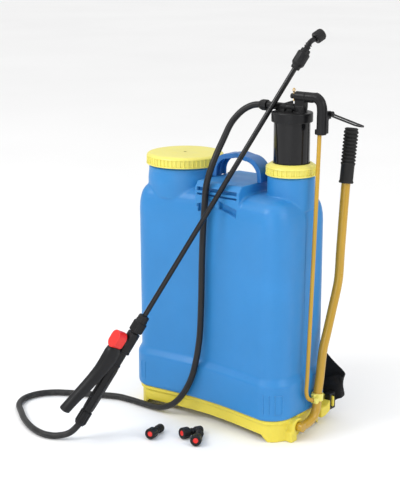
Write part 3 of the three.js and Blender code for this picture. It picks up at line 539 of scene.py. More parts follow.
def tube(name, points, radius, look, sides=24, matrix=TO_ROW, ends=1.0, uv_name="along"):
    """Round bar along points (mm), with rolled ends. radius is a number or a function of the
    distance along.
    """
    points = np.asarray(points, float)
    tangents = np.gradient(points, axis=0)
    tangents /= np.linalg.norm(tangents, axis=1)[:, None]
    side = np.cross(tangents[0], (0.3, 0.5, 0.81))
    side /= np.linalg.norm(side)
    travelled = np.concatenate([[0], np.cumsum(np.linalg.norm(np.diff(points, axis=0), axis=1))])
    rings, uv = [], []
    stations = list(zip(points, tangents, travelled))
    if ends:
        first, last = stations[0], stations[-1]
        stations = [(first[0], first[1], first[2], 1 - ends * 0.12), *[(*s, 1) for s in stations],
            (last[0], last[1], last[2], 1 - ends * 0.12)]
        stations[1] = (first[0] + first[1] * 0.4, first[1], first[2], 1)
        stations[-2] = (last[0] - last[1] * 0.4, last[1], last[2], 1)
    else:
        stations = [(*s, 1) for s in stations]
    for centre, tangent, along, scale in stations:
        side = side - tangent * side.dot(tangent)
        side /= np.linalg.norm(side)
        other = np.cross(tangent, side)
        r = (radius(along) if callable(radius) else radius) * scale
        ring = []
        for i in range(sides):
            a = 2 * math.pi * i / sides
            ring.append(matrix @ Vector(centre + r * (math.cos(a) * side + math.sin(a) * other)))
            uv.append((i / sides, along * MM))
        rings.append(ring)
    points_out, faces = skin(rings)
    return mesh_object(name, points_out, faces, look, uv, uv_name)


def turned(name, profile, look, matrix=TO_ROW, segments=96, swell=None, sharp=38):
    """Lathe about the local Z axis. profile is [radius, z] from axis to axis or closed on itself (mm).
    swell(angle, radius, z) gives the radius there, for ribs and flats."""
    looped = profile[0] == profile[-1]
    rows = profile[:-1] if looped else profile
    points, row_index = [], []
    for r, z in rows:
        if r == 0:
            row_index.append([len(points)] * segments)
            points.append(matrix @ Vector((0, 0, z)))
            continue
        indices = []
        for i in range(segments):
            a = 2 * math.pi * i / segments
            rr = swell(a, r, z) if swell else r
            indices.append(len(points))
            points.append(matrix @ Vector((rr * math.cos(a), rr * math.sin(a), z)))
        row_index.append(indices)
    faces = []
    pairs = list(zip(row_index, row_index[1:]))
    if looped:
        pairs.append((row_index[-1], row_index[0]))
    for low, high in pairs:
        for i in range(segments):
            j = (i + 1) % segments
            corner = [low[i], low[j], high[j], high[i]]
            face = [v for k, v in enumerate(corner) if v != corner[k - 1]]
            if len(set(face)) > 2:
                faces.append(tuple(dict.fromkeys(face)))
    return mesh_object(name, points, faces, look, sharp=sharp)


def rounded(profile, radius, steps=3):
    """A closed [radius, z] profile with its corners cut to short arcs."""
    looped = profile[0] == profile[-1]
    rows = [np.array(p, float) for p in (profile[:-1] if looped else profile)]
    out = []
    for k, corner in enumerate(rows):
        if not looped and k in (0, len(rows) - 1):
            out.append(tuple(corner))
            continue
        before, after = rows[k - 1], rows[(k + 1) % len(rows)]
        reach = min(radius, 0.45 * np.linalg.norm(before - corner), 0.45 * np.linalg.norm(after - corner))
        a = corner + (before - corner) / max(np.linalg.norm(before - corner), 1e-6) * reach
        b = corner + (after - corner) / max(np.linalg.norm(after - corner), 1e-6) * reach
        for i in range(steps + 1):
            t = i / steps
            out.append(tuple((1 - t) ** 2 * a + 2 * t * (1 - t) * corner + t ** 2 * b))
    if looped:
        out.append(out[0])
    return out


def block(name, low, high, look, matrix=TO_ROW):
    xs, ys, zs = zip(low, high)
    points = [matrix @ Vector((x, y, z)) for z in zs for y in ys for x in xs]
    faces = [(0, 1, 3, 2), (4, 5, 7, 6), (0, 1, 5, 4), (2, 3, 7, 6), (0, 2, 6, 4), (1, 3, 7, 5)]
    return mesh_object(name, points, faces, look)


def cut_away(obj, *cutters):
    for cutter in cutters:
        boolean = obj.modifiers.new("cut", "BOOLEAN")
        boolean.operation = "DIFFERENCE"
        boolean.solver = "EXACT"
        boolean.object = cutter
        apply_modifiers(obj)
        bpy.data.objects.remove(cutter)
    return obj


def about(x, y, z=0.0, turn=None):
    """Local millimetres at a place of the drawing."""
    spin = turn if turn is not None else Matrix.Identity(4)
    return TO_ROW @ Matrix.Translation((x, y, z)) @ spin


# ---- tank ---------------------------------------------------------------------------------------------
TANK = {"width": 363.8, "depth": 180, "corner": 48.7, "bottom": 43.4, "shoulder": 448, "dish": 15,
    "band_dish": 12.4,
        "inset": 7}
FILLER = (-104.0, -5.0)
SADDLE = {"x": 25, "half": 51, "face": 70, "top": 466}
HANDLE = {"left": -28.5, "right": 84.6, "top": 516, "thick": 12, "half": 16}


def section(inset, z, dish, corner_steps=18, side_steps=36):
    """Rounded rectangle set in from the band at the tank's foot, dished front and back."""
    half_w, half_d = TANK["width"] / 2 - inset, TANK["depth"] / 2 - inset
    r = max(TANK["corner"] - inset, 10)
    corners = ((half_w - r, -(half_d - r), -90), (half_w - r, half_d - r, 0), (r - half_w, half_d - r, 90),
               (r - half_w, r - half_d, 180))
    points = []
    for k, (cx, cy, start) in enumerate(corners):
        for i in range(corner_steps + 1):
            a = math.radians(start + 90 * i / corner_steps)
            points.append([cx + r * math.cos(a), cy + r * math.sin(a), z])
        if k in (1, 3):
            side = math.copysign(1, cy)
            for i in range(1, side_steps):
                points.append([side * (half_w - r) * (1 - 2 * i / side_steps), side * half_d, z])
    reach = TANK["width"] / 2 - 30
    for p in points:
        if abs(p[0]) < reach:
            p[1] -= math.copysign(1, p[1]) * dish * math.cos(math.pi * p[0] / (2 * reach)) ** 1.3
    return points


def front_of_band(x):
    """The band's front face at x."""
    reach = TANK["width"] / 2 - 30
    half_w, r = TANK["width"] / 2, TANK["corner"]
    y = -TANK["depth"] / 2
    if abs(x) > half_w - r:
        y += r - math.sqrt(max(r * r - (abs(x) - half_w + r) ** 2, 0))
    if abs(x) < reach:
        y += TANK["band_dish"] * math.cos(math.pi * x / (2 * reach)) ** 1.3
    return y


def shell(name, levels, look):
    rings = [[TO_ROW @ Vector(p) for p in section(*level)] for level in levels]
    points, faces = skin(rings)
    return mesh_object(name, points, faces, look)


def make_tank():
    d, band = TANK["dish"], TANK["band_dish"]
    foot = TANK["bottom"]
    wall = TANK["inset"]
    levels = [(3, foot, band), (0.6, foot + 2.5, band), (0, foot + 7, band), (0, 75, band),
        (0, 107, band), (0.2, 109.5, band), (wall - 0.3, 122, d), (wall, 124, d), (wall, 200, d),
        (wall, 300, d), (wall, 396, d), (wall + 0.7, 409, d), (wall + 2.6, 420, d), (12.4, 429, d),
        (17, 436.5, d), (23.5, 442.3, d), (32.5, 446, d), (44, 447.8, d), (56, TANK["shoulder"], d)]
    pieces = [shell("tank", levels, "blue")]
    fx, fy = FILLER
    px, py = PUMP
    pieces.append(turned("neck", [(0, 425), (70.6, 425), (70.6, 455), (69.6, 464), (68.8, 470),
        (68.8, 479), (65.3, 479.5), (65.3, 494.5), (0, 494.5)], "blue", about(fx, fy)))
    pieces.append(turned("neck", [(0, 425), (43, 425), (43, 474), (43, 483), (39.8, 483.5),
                                  (39.8, 496), (0, 496)], "blue", about(px, py)))
    s = SADDLE
    outline = [(-s["face"], 420), (s["face"], 420), (s["face"], s["top"] - 10), (s["face"] - 9, s["top"]),
               (9 - s["face"], s["top"]), (-s["face"], s["top"] - 10)]
    rings = [[at(s["x"] + side * s["half"], y, z) for y, z in outline] for side in (-1, 1)]
    pieces.append(mesh_object("saddle", *skin(rings), "blue"))
    tank = fuse(join("tank_shell", *pieces), 0.0019, 3)
    left, right = s["x"] - 46, s["x"] + 46
    deep = 9
    cutters = [block("slot", (left, -s["face"] - 12, z0), (right, -s["face"] + deep, z1), "blue")
               for z0, z1 in ((449, 456.5), (441, 445))]
    for side in (-1, 1):
        x0, x1 = s["x"] + side * 4, s["x"] + side * 46
        corners = [(x0, 436), (x1, 424), (x1, 409), (x0, 421)]
        rings = [[at(x, y, z) for x, z in corners] for y in (-s["face"] - 12, -s["face"] + deep)]
        cutters.append(mesh_object("pocket", *skin(rings), "blue"))
    cutters.append(turned("bore", [(0, 400), (61.5, 400), (61.5, 520), (0, 520)], "blue", about(fx, fy)))
    cutters.append(turned("bore", [(0, 340), (37.6, 340), (37.6, 520), (0, 520)], "blue", about(px, py)))
    cut_away(tank, *cutters)
    return [tank, *tank_marks(), *neck_threads(), parting_line()]


def bead(name, points, radius, look="blue"):
    return tube(name, points, radius, look, 10, ends=0)


def tank_marks():
    """Raised ribs and level window moulded into the band near its corners."""
    beads = []
    for x in (-150, -139, 148, 158):
        beads.append(bead("rib", [(x, front_of_band(x) + 0.25, z) for z in np.linspace(58, 94, 14)], 1.35))
    x0, x1, z0, z1 = 166.5, 175.5, 57, 94
    path = [(x0, z0), (x0, z1), (x1, z1), (x1, z0), (x0, z0)]
    for (ax, az), (bx, bz) in zip(path, path[1:]):
        line = [(ax + (bx - ax) * t, az + (bz - az) * t) for t in np.linspace(0, 1, 12)]
        beads.append(bead("window", [(x, front_of_band(x) + 0.25, z) for x, z in line], 1.25))
    return beads


def neck_threads():
    """Coarse round threads under the cap and the ring nut."""
    threads = []
    for (x, y), radius, low, turns in ((FILLER, 65.1, 484, 1.6), (PUMP, 39.6, 487.5, 1.3)):
        points = []
        for i in range(int(90 * turns)):
            a = 2 * math.pi * i / 90
            points.append((x + radius * math.cos(a), y + radius * math.sin(a), low + 4.2 * i / 90))
        threads.append(bead("thread", points, 0.9))
    return threads


def parting_line():
    """The mould's parting line up the pump side."""
    half = TANK["width"] / 2
    wall = TANK["inset"]
    levels = ((0, 48), (0, 108), (wall - 0.3, 122), (wall, 127), (wall, 300), (wall, 396),
        (wall + 0.7, 409), (wall + 2.6, 420))
    points = [(half - inset, 0, z) for inset, z in levels]
    return bead("parting", curve_points(points, 60), 0.5)


def make_base():
    return place(softened("base", "base", 0.0015, 4), "frame", "base", slot="yellow_plastic")


# ---- caps and nuts --------------------------------------------------------------------------------
def panels(count, depth, low, high, land=0.3):
    """Sunken panels between narrow ribs round a skirt, between two heights."""
    def swell(angle, radius, z):
        if not low < z < high:
            return radius
        phase = (angle * count / (2 * math.pi)) % 1
        edge = min(phase, 1 - phase) * 2
        blend = min(max((edge - land) / 0.12, 0), 1)
        return radius - depth * blend * blend * (3 - 2 * blend)
    return swell


def make_filler_cap():
    r, low, top = 74.1, 482.5, 502.8
    profile = [(70, low), (r, low), (r, low + 2.2), (r - 0.5, low + 2.4), (r - 0.5, low + 2.6),
        (r - 0.5, top - 5.8), (r - 0.5, top - 5.6), (r - 0.6, top - 5.2), (r - 1.6, top - 3),
        (r - 4, top - 1.2), (r - 7.5, top - 0.35), (r - 12, top - 0.1), (50, top), (30, top), (3.4, top),
        (3.4, top - 4), (69, top - 4), (70, top - 5), (70, low)]
    cap = turned("filler_cap_look", profile, "cap", about(*FILLER), 720,
        panels(56, 1.9, low + 2.3, top - 5.5, 0.2))
    place(cap, "cap", "filler_cap", slot="yellow_plastic")
    plug = rounded([(0, top - 9), (7, top - 9), (7, top - 4.4), (3.2, top - 4.4), (3.2, top - 0.4),
        (0, top - 0.4)], 0.3)
    place(turned("cap_breather_look", plug, "rubber", about(*FILLER), 48), "cap", "cap_breather",
        slot="seal_rubber")


def make_ring_nut():
    r, low, top = 46.6, 486, 507
    profile = [(40.9, low), (r, low), (r, low + 2.4), (r - 0.6, low + 2.6), (r - 0.6, low + 2.8),
        (r - 0.6, top - 8), (r - 0.6, top - 7.8), (r - 0.4, top - 7.2), (r - 1.2, top - 5.4),
        (r - 8.5, top - 0.6), (r - 10, top), (33.7, top), (33.7, top - 5.7), (40.9, top - 5.7),
        (40.9, low)]
    nut = turned("ring_nut_look", profile, "cap", about(*PUMP), 528,
        panels(32, 2.0, low + 2.5, top - 7.9, 0.2))
    return place(nut, "ring_nut", "pump_ring_nut", slot="yellow_plastic")


def make_handle():
    """Carry handle: a flat bail with a raised rim along both edges."""
    left, right, top = HANDLE["left"], HANDLE["right"], HANDLE["top"]
    foot = SADDLE["top"] + 0.3

    def arch(inset):
        l, r, t, bend = left + inset, right - inset, top - inset, 36 - inset * 0.8
        points = [(l, foot), (l, t - 6 - bend)]
        for i in range(1, 13):
            a = math.pi - math.pi / 2 * i / 12
            points.append((l + bend + bend * math.cos(a), t - 4 - bend + bend * math.sin(a)))
        points.append(((l + r) / 2, t))
        for i in range(12):
            a = math.pi / 2 - math.pi / 2 * i / 12
            points.append((r - bend + bend * math.cos(a), t - 4 - bend + bend * math.sin(a)))
        return points + [(r, t - 6 - bend), (r, foot)]

    half = HANDLE["half"]
    strips = ((0, 2.6, -half, half), (2.0, 9.0, -half, -half + 4), (2.0, 9.0, half - 4, half),
        (2.0, 7.0, -2, 2))
    parts = []
    for near, far, y0, y1 in strips:
        outer, inner = arch(near), arch(far)
        ring = outer + inner[::-1]
        count = len(outer)
        points = [at(x, y, z) for y in (y0, y1) for x, z in ring]
        faces = []
        total = len(ring)
        for i in range(total):
            j = (i + 1) % total
            faces.append((i, j, j + total, i + total))
        for i in range(count - 1):
            faces.append((i, i + 1, total - 2 - i, total - 1 - i))
            faces.append((total + i, total + i + 1, 2 * total - 2 - i, 2 * total - 1 - i))
        parts.append(mesh_object("handle_strip", points, faces, "handle"))
    handle = fuse(join("carry_handle_look", *parts), 0.0009, 3)
    return place(handle, "frame", "carry_handle", slot="blue_handle")


# ---- pump head ----------------------------------------------------------------------------------------
def make_chamber():
    body = turned("air_chamber_look", rounded([(0, 436.2), (32.7, 436.2), (32.7, 580), (33.2, 581),
        (33.2, 591.8), (0, 591.8)], 0.8), "gloss", about(*PUMP), 128)
    return place(body, "chamber", "air_chamber", slot="black_gloss")


def make_lid():
    lid = softened("chamber_lid", "black", 0.0009, 2)
    lid.name = "chamber_lid_look"
    collar = turned("collar", rounded([(33.1, 581), (35.4, 581), (37.3, 583.2), (37.3, 596),
        (36.8, 597.6), (35.2, 598.2), (34.0, 597.2), (33.4, 595.2), (33.1, 594.6), (33.1, 581)], 0.5),
        "black", about(*PUMP), 128)
    ribs = []
    for x0, x1, x2 in ((-30, -14, -22), (-12, 2, -4)):
        for y in (-5.5, 5.5):
            corners = [(PUMP[0] + x0, 597.2), (PUMP[0] + x1, 597.2), (PUMP[0] + x1 + 4, 611),
                (PUMP[0] + x2 + 4, 611)]
            rings = [[at(x, PUMP[1] + y + side, z) for x, z in corners] for side in (-0.9, 0.9)]
            ribs.append(mesh_object("gusset", *skin(rings), "black"))
    return place(join("chamber_lid_look", lid, collar, *ribs), "chamber", "chamber_lid", slot="black_gloss")


def fluted(count, depth, low, high):
    def swell(angle, radius, z):
        if not low < z < high:
            return radius
        return radius - depth * (0.5 + 0.5 * math.cos(angle * count)) ** 2
    return swell


def make_pump_hose_nut():
    turn = Matrix.Rotation(-math.pi / 2, 4, "Y")
    profile = rounded([(6.3, 0), (9.4, 0), (10, 1), (10, 10.5), (9.2, 13), (8.4, 15.4), (6.3, 15.4),
        (6.3, 0)], 0.5)
    nut = turned("pump_hose_nut_look", profile, "black", about(78, PUMP[1], 605, turn), 160,
        fluted(16, 0.7, 0.8, 10.8))
    return place(nut, "chamber", "pump_hose_nut", slot="black_plastic")


# ---- lever, rod and grip -------------------------------------------------------------------------------
LEVER = {"x": 193, "y": -33, "z": 27, "radius": 8.5}
ROD_X = 191.4
LINK = (3, 69.5)


def make_lever():
    path = [(-33, 27), (-9, 27), (8.5, 33.4), (18, 46), (20.5, 64), (23, 83), (27.2, 101), (36.6, 157.6),
        (49.9, 193), (63.3, 228.6),
            (76.7, 264.2), (82.5, 284), (86.8, 339), (97.5, 454), (112, 558)]
    line, _ = even(curve_points([(LEVER["x"], y, z) for y, z in path], 160), 5)
    bar = tube("lever_look", line, LEVER["radius"] * 0.985, "amber", 40)
    hub_turn = Matrix.Rotation(math.pi / 2, 4, "Y")
    hub = turned("hub", rounded([(0, -8.4), (8.4, -8.4), (8.4, 8.4), (0, 8.4)], 1.5), "amber",
                 about(LEVER["x"], LEVER["y"], LEVER["z"], hub_turn), 64)
    return place(join("lever_look", bar, hub), "lever_arm", "lever", slot="amber_paint")


def make_rod():
    path = [(ROD_X, PUMP[1], 588), (ROD_X, PUMP[1] - 0.6, 556), (ROD_X, -11.3, 106), (ROD_X - 0.4, -12, 88),
        (ROD_X + 0.6, -8.5, 76),
            (ROD_X + 3.4, -1.5, LINK[1] + 1), (ROD_X + 7.6, *LINK), (203, *LINK)]
    line, _ = even(curve_points(path, 200), 3)
    rod = tube("pull_rod_look", line, 3.75, "amber", 28)
    return place(rod, "rod", "pull_rod", slot="amber_paint")


def make_grip():
    """Moulded grip: a smooth collar, finger rings along the hold and a domed end."""
    length, radius, bore = 101, 13.5, 8.8
    profile = [(bore, -length), (radius - 0.8, -length), (radius, -length + 1), (radius, -length + 3),
        (radius - 1.1, -length + 4.5), (radius - 1.1, -length + 33), (radius, -length + 35),
        (radius, -length + 37.5)]
    ring_pitch = 6.3
    for i in range(9):
        z = -length + 38.5 + i * ring_pitch
        profile += [(radius - 2.1, z), (radius - 2.2, z + 1.3), (radius - 0.2, z + 2.1),
            (radius, z + 3.2), (radius, z + 4.4), (radius - 0.3, z + 5.3)]
    profile += [(radius - 2.2, -4.4), (radius - 1.2, -3.2), (radius - 1.2, -2), (radius - 2.4, -0.7),
        (radius - 4.5, 0), (3, 0.2), (3, -4), (bore, -4), (bore, -length)]
    tilt = math.atan2(112 - 97.5, 558 - 454)
    where = about(LEVER["x"], 112.6, 563, Matrix.Rotation(-tilt, 4, "X"))
    grip = turned("lever_grip_look", profile, "grip", where, 72, sharp=50)
    plug = turned("plug", rounded([(0, -3), (3, -3), (3, -0.4), (0, -0.4)], 0.4), "grip", where, 48)
    grip = join("lever_grip_look", grip, plug)
    return place(grip, "lever_arm", "lever_grip", slot="black_plastic")


def make_clip_and_bush():
    clip = softened("lever_clip", "cap", 0.0005, 1)
    place(clip, "lever_arm", "lever_clip", slot="yellow_plastic")
    bush = softened("link_bush", "cap", 0.0005, 1)
    place(bush, "rod", "link_bush", slot="yellow_plastic")


def make_elbow():
    elbow = softened("elbow", "black", 0.0008, 3)
    rib_path = [(183, 635), (190, 632.5), (198, 625), (203.8, 613), (204.6, 598), (204.6, 566)]
    line, _ = even(curve_points([(x, PUMP[1], z) for x, z in rib_path], 60), 2)
    spine = tube("spine", line, 1.5, "black", 12)
    foot = turned("foot", rounded([(4.6, 563.4), (8.6, 563.4), (9.1, 566), (8.9, 572), (4.6, 572),
        (4.6, 563.4)], 0.6), "black", about(ROD_X + 0.4, PUMP[1]), 64)
    return place(join("elbow_look", elbow, spine, foot), "rod", "elbow", slot="black_plastic")


# ---- wand ----------------------------------------------------------------------------------------------
WAND_FOOT = Vector((-126.8, -285.2, 30))
WAND_REST = Vector((99.4, -1.1, 610))
WAND_SIDE = Vector((-0.149, -0.8635, 0.481))
wand_z = (WAND_REST - WAND_FOOT).normalized()
wand_x = (WAND_SIDE - wand_z * WAND_SIDE.dot(wand_z)).normalized()
WAND = TO_ROW @ Matrix.Translation(WAND_FOOT) @ Matrix((wand_x, wand_z.cross(wand_x),
    wand_z)).transposed().to_4x4()
LANCE = {"radius": 4.7, "from": 217, "to": 765}


def make_wand():
    tube_line = [(0, 0, z) for z in np.linspace(LANCE["from"], LANCE["to"], 60)]
    lance = tube("lance_tube_look", tube_line, LANCE["radius"], "gloss", 32, WAND)
    place(lance, "frame", "lance_tube", slot="black_gloss")

    profile = rounded([(6.6, 0.2), (8.8, 0.2), (9.6, 2), (11.5, 6.2), (11.5, 27.8), (10.8, 29), (8.9, 29),
        (8.9, 16.2), (6.6, 16.2), (6.6, 0.2)], 0.6)
    nut = turned("trigger_hose_nut_look", profile, "black", WAND, 192, fluted(8, 1.3, 5.8, 28.2))
    place(nut, "frame", "trigger_hose_nut", slot="black_plastic")

    profile = rounded([(8.4, 203), (12.3, 203), (13, 204.2), (13, 222), (12.4, 222.8), (10.9, 223.4),
        (10.9, 227.5), (10.4, 228.2), (10.4, 234.5), (9.4, 236.5), (5.1, 238), (5.1, 216.6), (8.4, 216.6),
        (8.4, 203)], 0.45)
    nut = turned("lance_lower_nut_look", profile, "black", WAND, 240, fluted(20, 0.75, 204.6, 221.6))
    place(nut, "frame", "lance_lower_nut", slot="black_plastic")

    profile = rounded([(5.1, 757), (7.6, 757), (8.6, 760), (8.6, 763), (11.6, 767), (11.8, 768.5),
        (11.8, 788), (11, 790), (9.2, 790.6), (8.6, 796), (8, 797), (5.9, 797), (5.9, 766.1),
        (5.1, 766.1), (5.1, 757)], 0.45)
    nut = turned("lance_upper_nut_look", profile, "black", WAND, 240, fluted(18, 0.8, 768.8, 787.5))
    place(nut, "frame", "lance_upper_nut", slot="black_plastic")

    neck_line, _ = even(curve_points([(0, 0, 767), (0, 0, 795), (1.6, 0, 804), (1, 0, 812), (-4, 0, 820.5)],
        60), 1.5)
    neck = tube("nozzle_neck_look", neck_line, lambda d: 5.3 if d < 36 else 4.7, "black", 28, WAND)
    rings = [turned("ring", rounded([(4, -1), (6.3, -1), (6.3, 1), (4, 1), (4, -1)], 0.4), "black",
                    WAND @ Matrix.Translation((1.2, 0, z)), 48) for z in (801.5, 806)]
    place(join("nozzle_neck_look", neck, *rings), "frame", "nozzle_neck", slot="black_plastic")

    head = WAND @ Matrix.Translation((-4.4, 0, 821.1)) @ Matrix.Rotation(-math.atan2(5, 8.5), 4, "Y")
    profile = rounded([(6.1, 0.5), (10, 0.5), (10.7, 1.4), (11, 3), (11, 14.6), (10.2, 16.5), (9, 18.2),
        (6, 19), (1.2, 19), (1.2, 16), (8, 16), (8, 4), (6.1, 4), (6.1, 0.5)], 0.4)
    cap = turned("nozzle_cap_look", profile, "black", head, 240, fluted(12, 1.1, 2.6, 15.5))
    place(cap, "nozzle", "nozzle_cap", slot="black_plastic")


def squeeze_cover():
    """The squeeze lever: a smooth rounded cover, open on the side that closes over the handle."""
    wall = 2.5
    rings = []
    # height, outer x, inner x, half width
    for z, outer, inner, half in ((163.5, 27, 20, 8.2), (162.5, 31.5, 17, 9.8), (159, 35.3, 14, 10.7),
        (152, 36.8, 12.5, 10.9), (140, 36.6, 12, 10.9), (128, 36, 12.5, 10.8), (112, 36.3, 16.2, 10.5),
        (94, 39.2, 21, 10.2), (78, 43, 25.2, 9.9), (62, 46.9, 29.6, 9.7), (46, 51.2, 35.6, 9.6),
        (32, 54.4, 39.8, 9.7), (22, 56.8, 42.6, 9.9), (18.5, 57.2, 43.6, 9.7), (17, 55.8, 45.0, 8.6)):
        sweep = [math.pi * (i / 24 - 0.5) for i in range(25)]

        def edge(angle, far, side):
            x = inner + (far - inner) * math.cos(angle) ** 0.62
            y = math.copysign(side * abs(math.sin(angle)) ** 0.62, angle)
            return WAND @ Vector((x, y, z))

        outside = [edge(a, outer, half) for a in sweep]
        inside = [edge(a, max(outer - wall, inner + 1), half - wall) for a in sweep[::-1]]
        rings.append(outside + inside)
    return mesh_object("squeeze_lever_look", *skin(rings), "black")


def make_trigger():
    body = softened("trigger_body", "black", 0.0007, 3)
    details = []
    for angle in (0, 60, 120, 180, 240, 300):
        a = math.radians(angle + 30)
        x, y = 10.4 * math.cos(a), 7.9 * math.sin(a)
        line = [(x * k, y * k, z) for z, k in ((31, 0.93), (36, 1.0), (90, 1.0), (122, 1.0), (128, 0.93))]
        details.append(tube("flute", curve_points(line, 24), 1.0, "black", 10, WAND))
    for z in (131, 160):
        ring = turned("band", rounded([(9, z - 1.6), (12.6, z - 1.6), (12.6, z + 1.6), (9, z + 1.6),
            (9, z - 1.6)], 0.6), "black", WAND if z > 150 else WAND @ Matrix.Diagonal((0.88, 0.74, 1, 1)),
            64)
        details.append(ring)
    place(join("trigger_body_look", body, *details), "frame", "trigger_body", slot="black_plastic")

    lever = squeeze_cover()
    place(lever, "trigger_lever", "squeeze_lever", slot="black_plastic")
    pin = turned("trigger_pin_look", rounded([(0, -10.5), (2, -10.5), (2, 10.5), (0, 10.5)], 0.4), "steel",
                 WAND @ Matrix.Translation((19, 0, 143)) @ Matrix.Rotation(math.pi / 2, 4, "X"), 40)
    place(pin, "frame", "trigger_pin", slot="steel")
    cap = softened("valve_cap", "red", 0.0006, 4)
    place(cap, "valve", "valve_cap", slot="red_plastic")


# ---- spare nozzles ---------------------------------------------------------------------------------
SPARES = (((-23, -206), 104), ((20, -166), 76), ((62, -176), 120))


def make_spares():
    tilt = math.asin((10.5 - 7.5) / 32)
    body_profile = rounded([(5.4, 0), (9.6, 0), (10.2, 0.8), (10.5, 2), (10.5, 13.5), (9.6, 15.4),
        (7.2, 17.6), (6.1, 19), (6.1, 22), (6.9, 22.6), (6.9, 24), (6.1, 24.6), (6.1, 30), (7.5, 31),
        (7.5, 45.2), (6.8, 46), (3, 46), (3, 3), (5.4, 3), (5.4, 0)], 0.4)
    for i, ((x, y), heading) in enumerate(SPARES):
        turn = Matrix.Rotation(math.radians(heading), 4, "Z") @ Matrix.Rotation(math.pi / 2 + tilt, 4, "Y")
        where = about(x, y, 10.5 * math.cos(tilt) + 1.15, turn)
        body = turned(f"spare_nozzle_{i + 1}_look", body_profile, "black", where, 200,
            fluted((10, 8, 12)[i], 1.0, 1.4, 14.5))
        threads = []
        for k in range(5):
            z = 33 + 2.6 * k
            threads.append(turned("thread", rounded([(7, z - 0.7), (8.1, z), (7, z + 0.7), (7, z - 0.7)],
                0.2), "black", where, 48))
        place(join(f"spare_nozzle_{i + 1}_look", body, *threads), "frame", f"spare_nozzle_{i + 1}",
            slot="black_plastic")
        insert_profile = [(0, 1.3), (1.0, 1.3), (1.2, 0.7), (2.4, 0.5), (2.6, 1.0), (3.4, 1.0),
            (3.6, 0.4), (4.7, 0.5), (5.0, 0.9), (5.0, 2.7), (0, 2.7)]
        if i == 0:
            insert_profile = [(0, 0.2), (2.6, 0.2), (3.4, 0.6), (4.6, 0.7), (5.0, 1.1), (5.0, 2.7), (0, 2.7)]
        insert = turned(f"spare_insert_{i + 1}_look", rounded(insert_profile, 0.15), "red", where, 72)
        place(insert, "frame", f"spare_insert_{i + 1}", slot="red_plastic")


# ---- hose ----------------------------------------------------------------------------------------------
HOSE_DIAMETER = 12
NUT_MOUTH, NUT_BACK, NUT_Z = 62.6, 78, 605
HOSE_ROUTE = [
    (NUT_BACK - 2, PUMP[1], NUT_Z), (NUT_MOUTH, PUMP[1], NUT_Z), (45.5, 10, 602.5), (30.5, 4, 594.5), (20,
        -5, 582), (15, -16, 568.5),
    (13.5, -36, 542), (11.5, -53, 517), (9, -67, 490), (6, -76, 460), (4, -78.5, 420), (1, -79, 380), (-2,
        -79, 320), (-4, -79, 243),
    (-7, -80, 174), (-10, -82, 144), (-14, -84.5, 118), (-21, -87, 90), (-34, -89, 62), (-51, -90.5,
        38.5), (-69, -91.5, 22.5),
    (-89, -92.5, 12.5), (-113, -93, 8), (-145, -93, 6.6), (-178, -93.5, 6.4), (-206, -97, 6.4), (-240, -113,
        6.4), (-290, -141, 6.4),
    (-322, -162, 6.4), (-342, -190, 6.4), (-345, -222, 6.4), (-330, -250, 6.4), (-298, -274, 6.4), (-262,
        -297, 6.4),
    (-225, -313.5, 6.4), (-200.5, -319.4, 6.4), (-179, -319.7, 6.4), (-159.1, -311.7, 7), (-139.7, -297.6,
        13.2),
    tuple(WAND_FOOT), tuple(WAND_FOOT + wand_z * 12),
]


def make_hose():
    line, length = even(curve_points(HOSE_ROUTE, 900), 5)
    hose = tube("hose_look", line, HOSE_DIAMETER / 2, "hose", 24)
    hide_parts("hose")
    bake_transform(hose)


# ---- harness -------------------------------------------------------------------------------------------
WEBBING = {"width": 45, "thick": 2.2}
PAD = {"width": 58, "thick": 9}
STRAP = [
    ((34, 84, 438), (1, 0, 0)), ((36, 93, 400), (1, 0, 0.1)), ((42, 104, 350),
        (1, 0, 0.12)), ((54, 110, 290), (1, 0, 0.2)),
    ((70, 111, 230), (1, 0, 0.35)), ((91, 109, 176), (1, 0, 0.6)), ((118, 110, 126),
        (0.75, 0, 0.7)), ((144, 117, 93), (0.35, 0, 1)),
    ((166, 122, 74), (0.1, 0, 1)), ((180.5, 122.5, 66), (0, 0, 1)), ((186.5, 117, 61.5),
        (-0.1, 0, 1)), ((182, 110.5, 60), (-0.2, 0, 1)),
    ((170, 108, 55), (-0.4, 0, 0.9)), ((155, 105.5, 43), (-0.5, 0, 0.85)), ((146.5, 101.5, 37.5),
        (-0.3, 0, 0.95)),
    ((148, 96.5, 36.5), (0, 0, 1)), ((156, 95.5, 36.5), (0, 0, 1)),
]
PAD_LINE = [((35.5, 101, 404), (1, 0, 0.1)), ((40, 112, 360), (1, 0, 0.12)), ((50, 119, 305), (1, 0, 0.18)),
            ((64, 121.5, 252), (1, 0, 0.3)), ((80, 120, 206), (1, 0, 0.5))]


EASE = 10                                        # frames either side that a strap's twist is spread over


def ribbon_frames(stations, side, count):
    """Centre, across and face directions at even parameters along a strap (mm)."""
    centres = curve_points([(side * x, y, z) for (x, y, z), _ in stations], count)
    across = [Vector((side * x, y, z)).normalized() for _, (x, y, z) in stations]
    frames = []
    for i, centre in enumerate(centres):
        t = i / count * (len(stations) - 1)
        k = min(int(t), len(stations) - 2)
        near = centres[max(i - 1, 0)]
        far = centres[min(i + 1, count)]
        tangent = Vector(far - near).normalized()
        wide = across[k].lerp(across[k + 1], t - k)
        wide = (wide - tangent * wide.dot(tangent)).normalized()
        frames.append((Vector(centre), wide, tangent.cross(wide)))
    eased = []
    for i, (centre, wide, face) in enumerate(frames):
        reach = min(EASE, i, count - i)
        total = sum((frames[k][1] for k in range(i - reach, i + reach + 1)), Vector())
        middle = sum((frames[k][0] for k in range(i - reach // 2, i + reach // 2 + 1)),
            Vector()) / (2 * (reach // 2) + 1)
        tangent = face.cross(wide)
        wide = (total - tangent * total.dot(tangent)).normalized()
        eased.append((middle, wide, tangent.cross(wide)))
    return eased


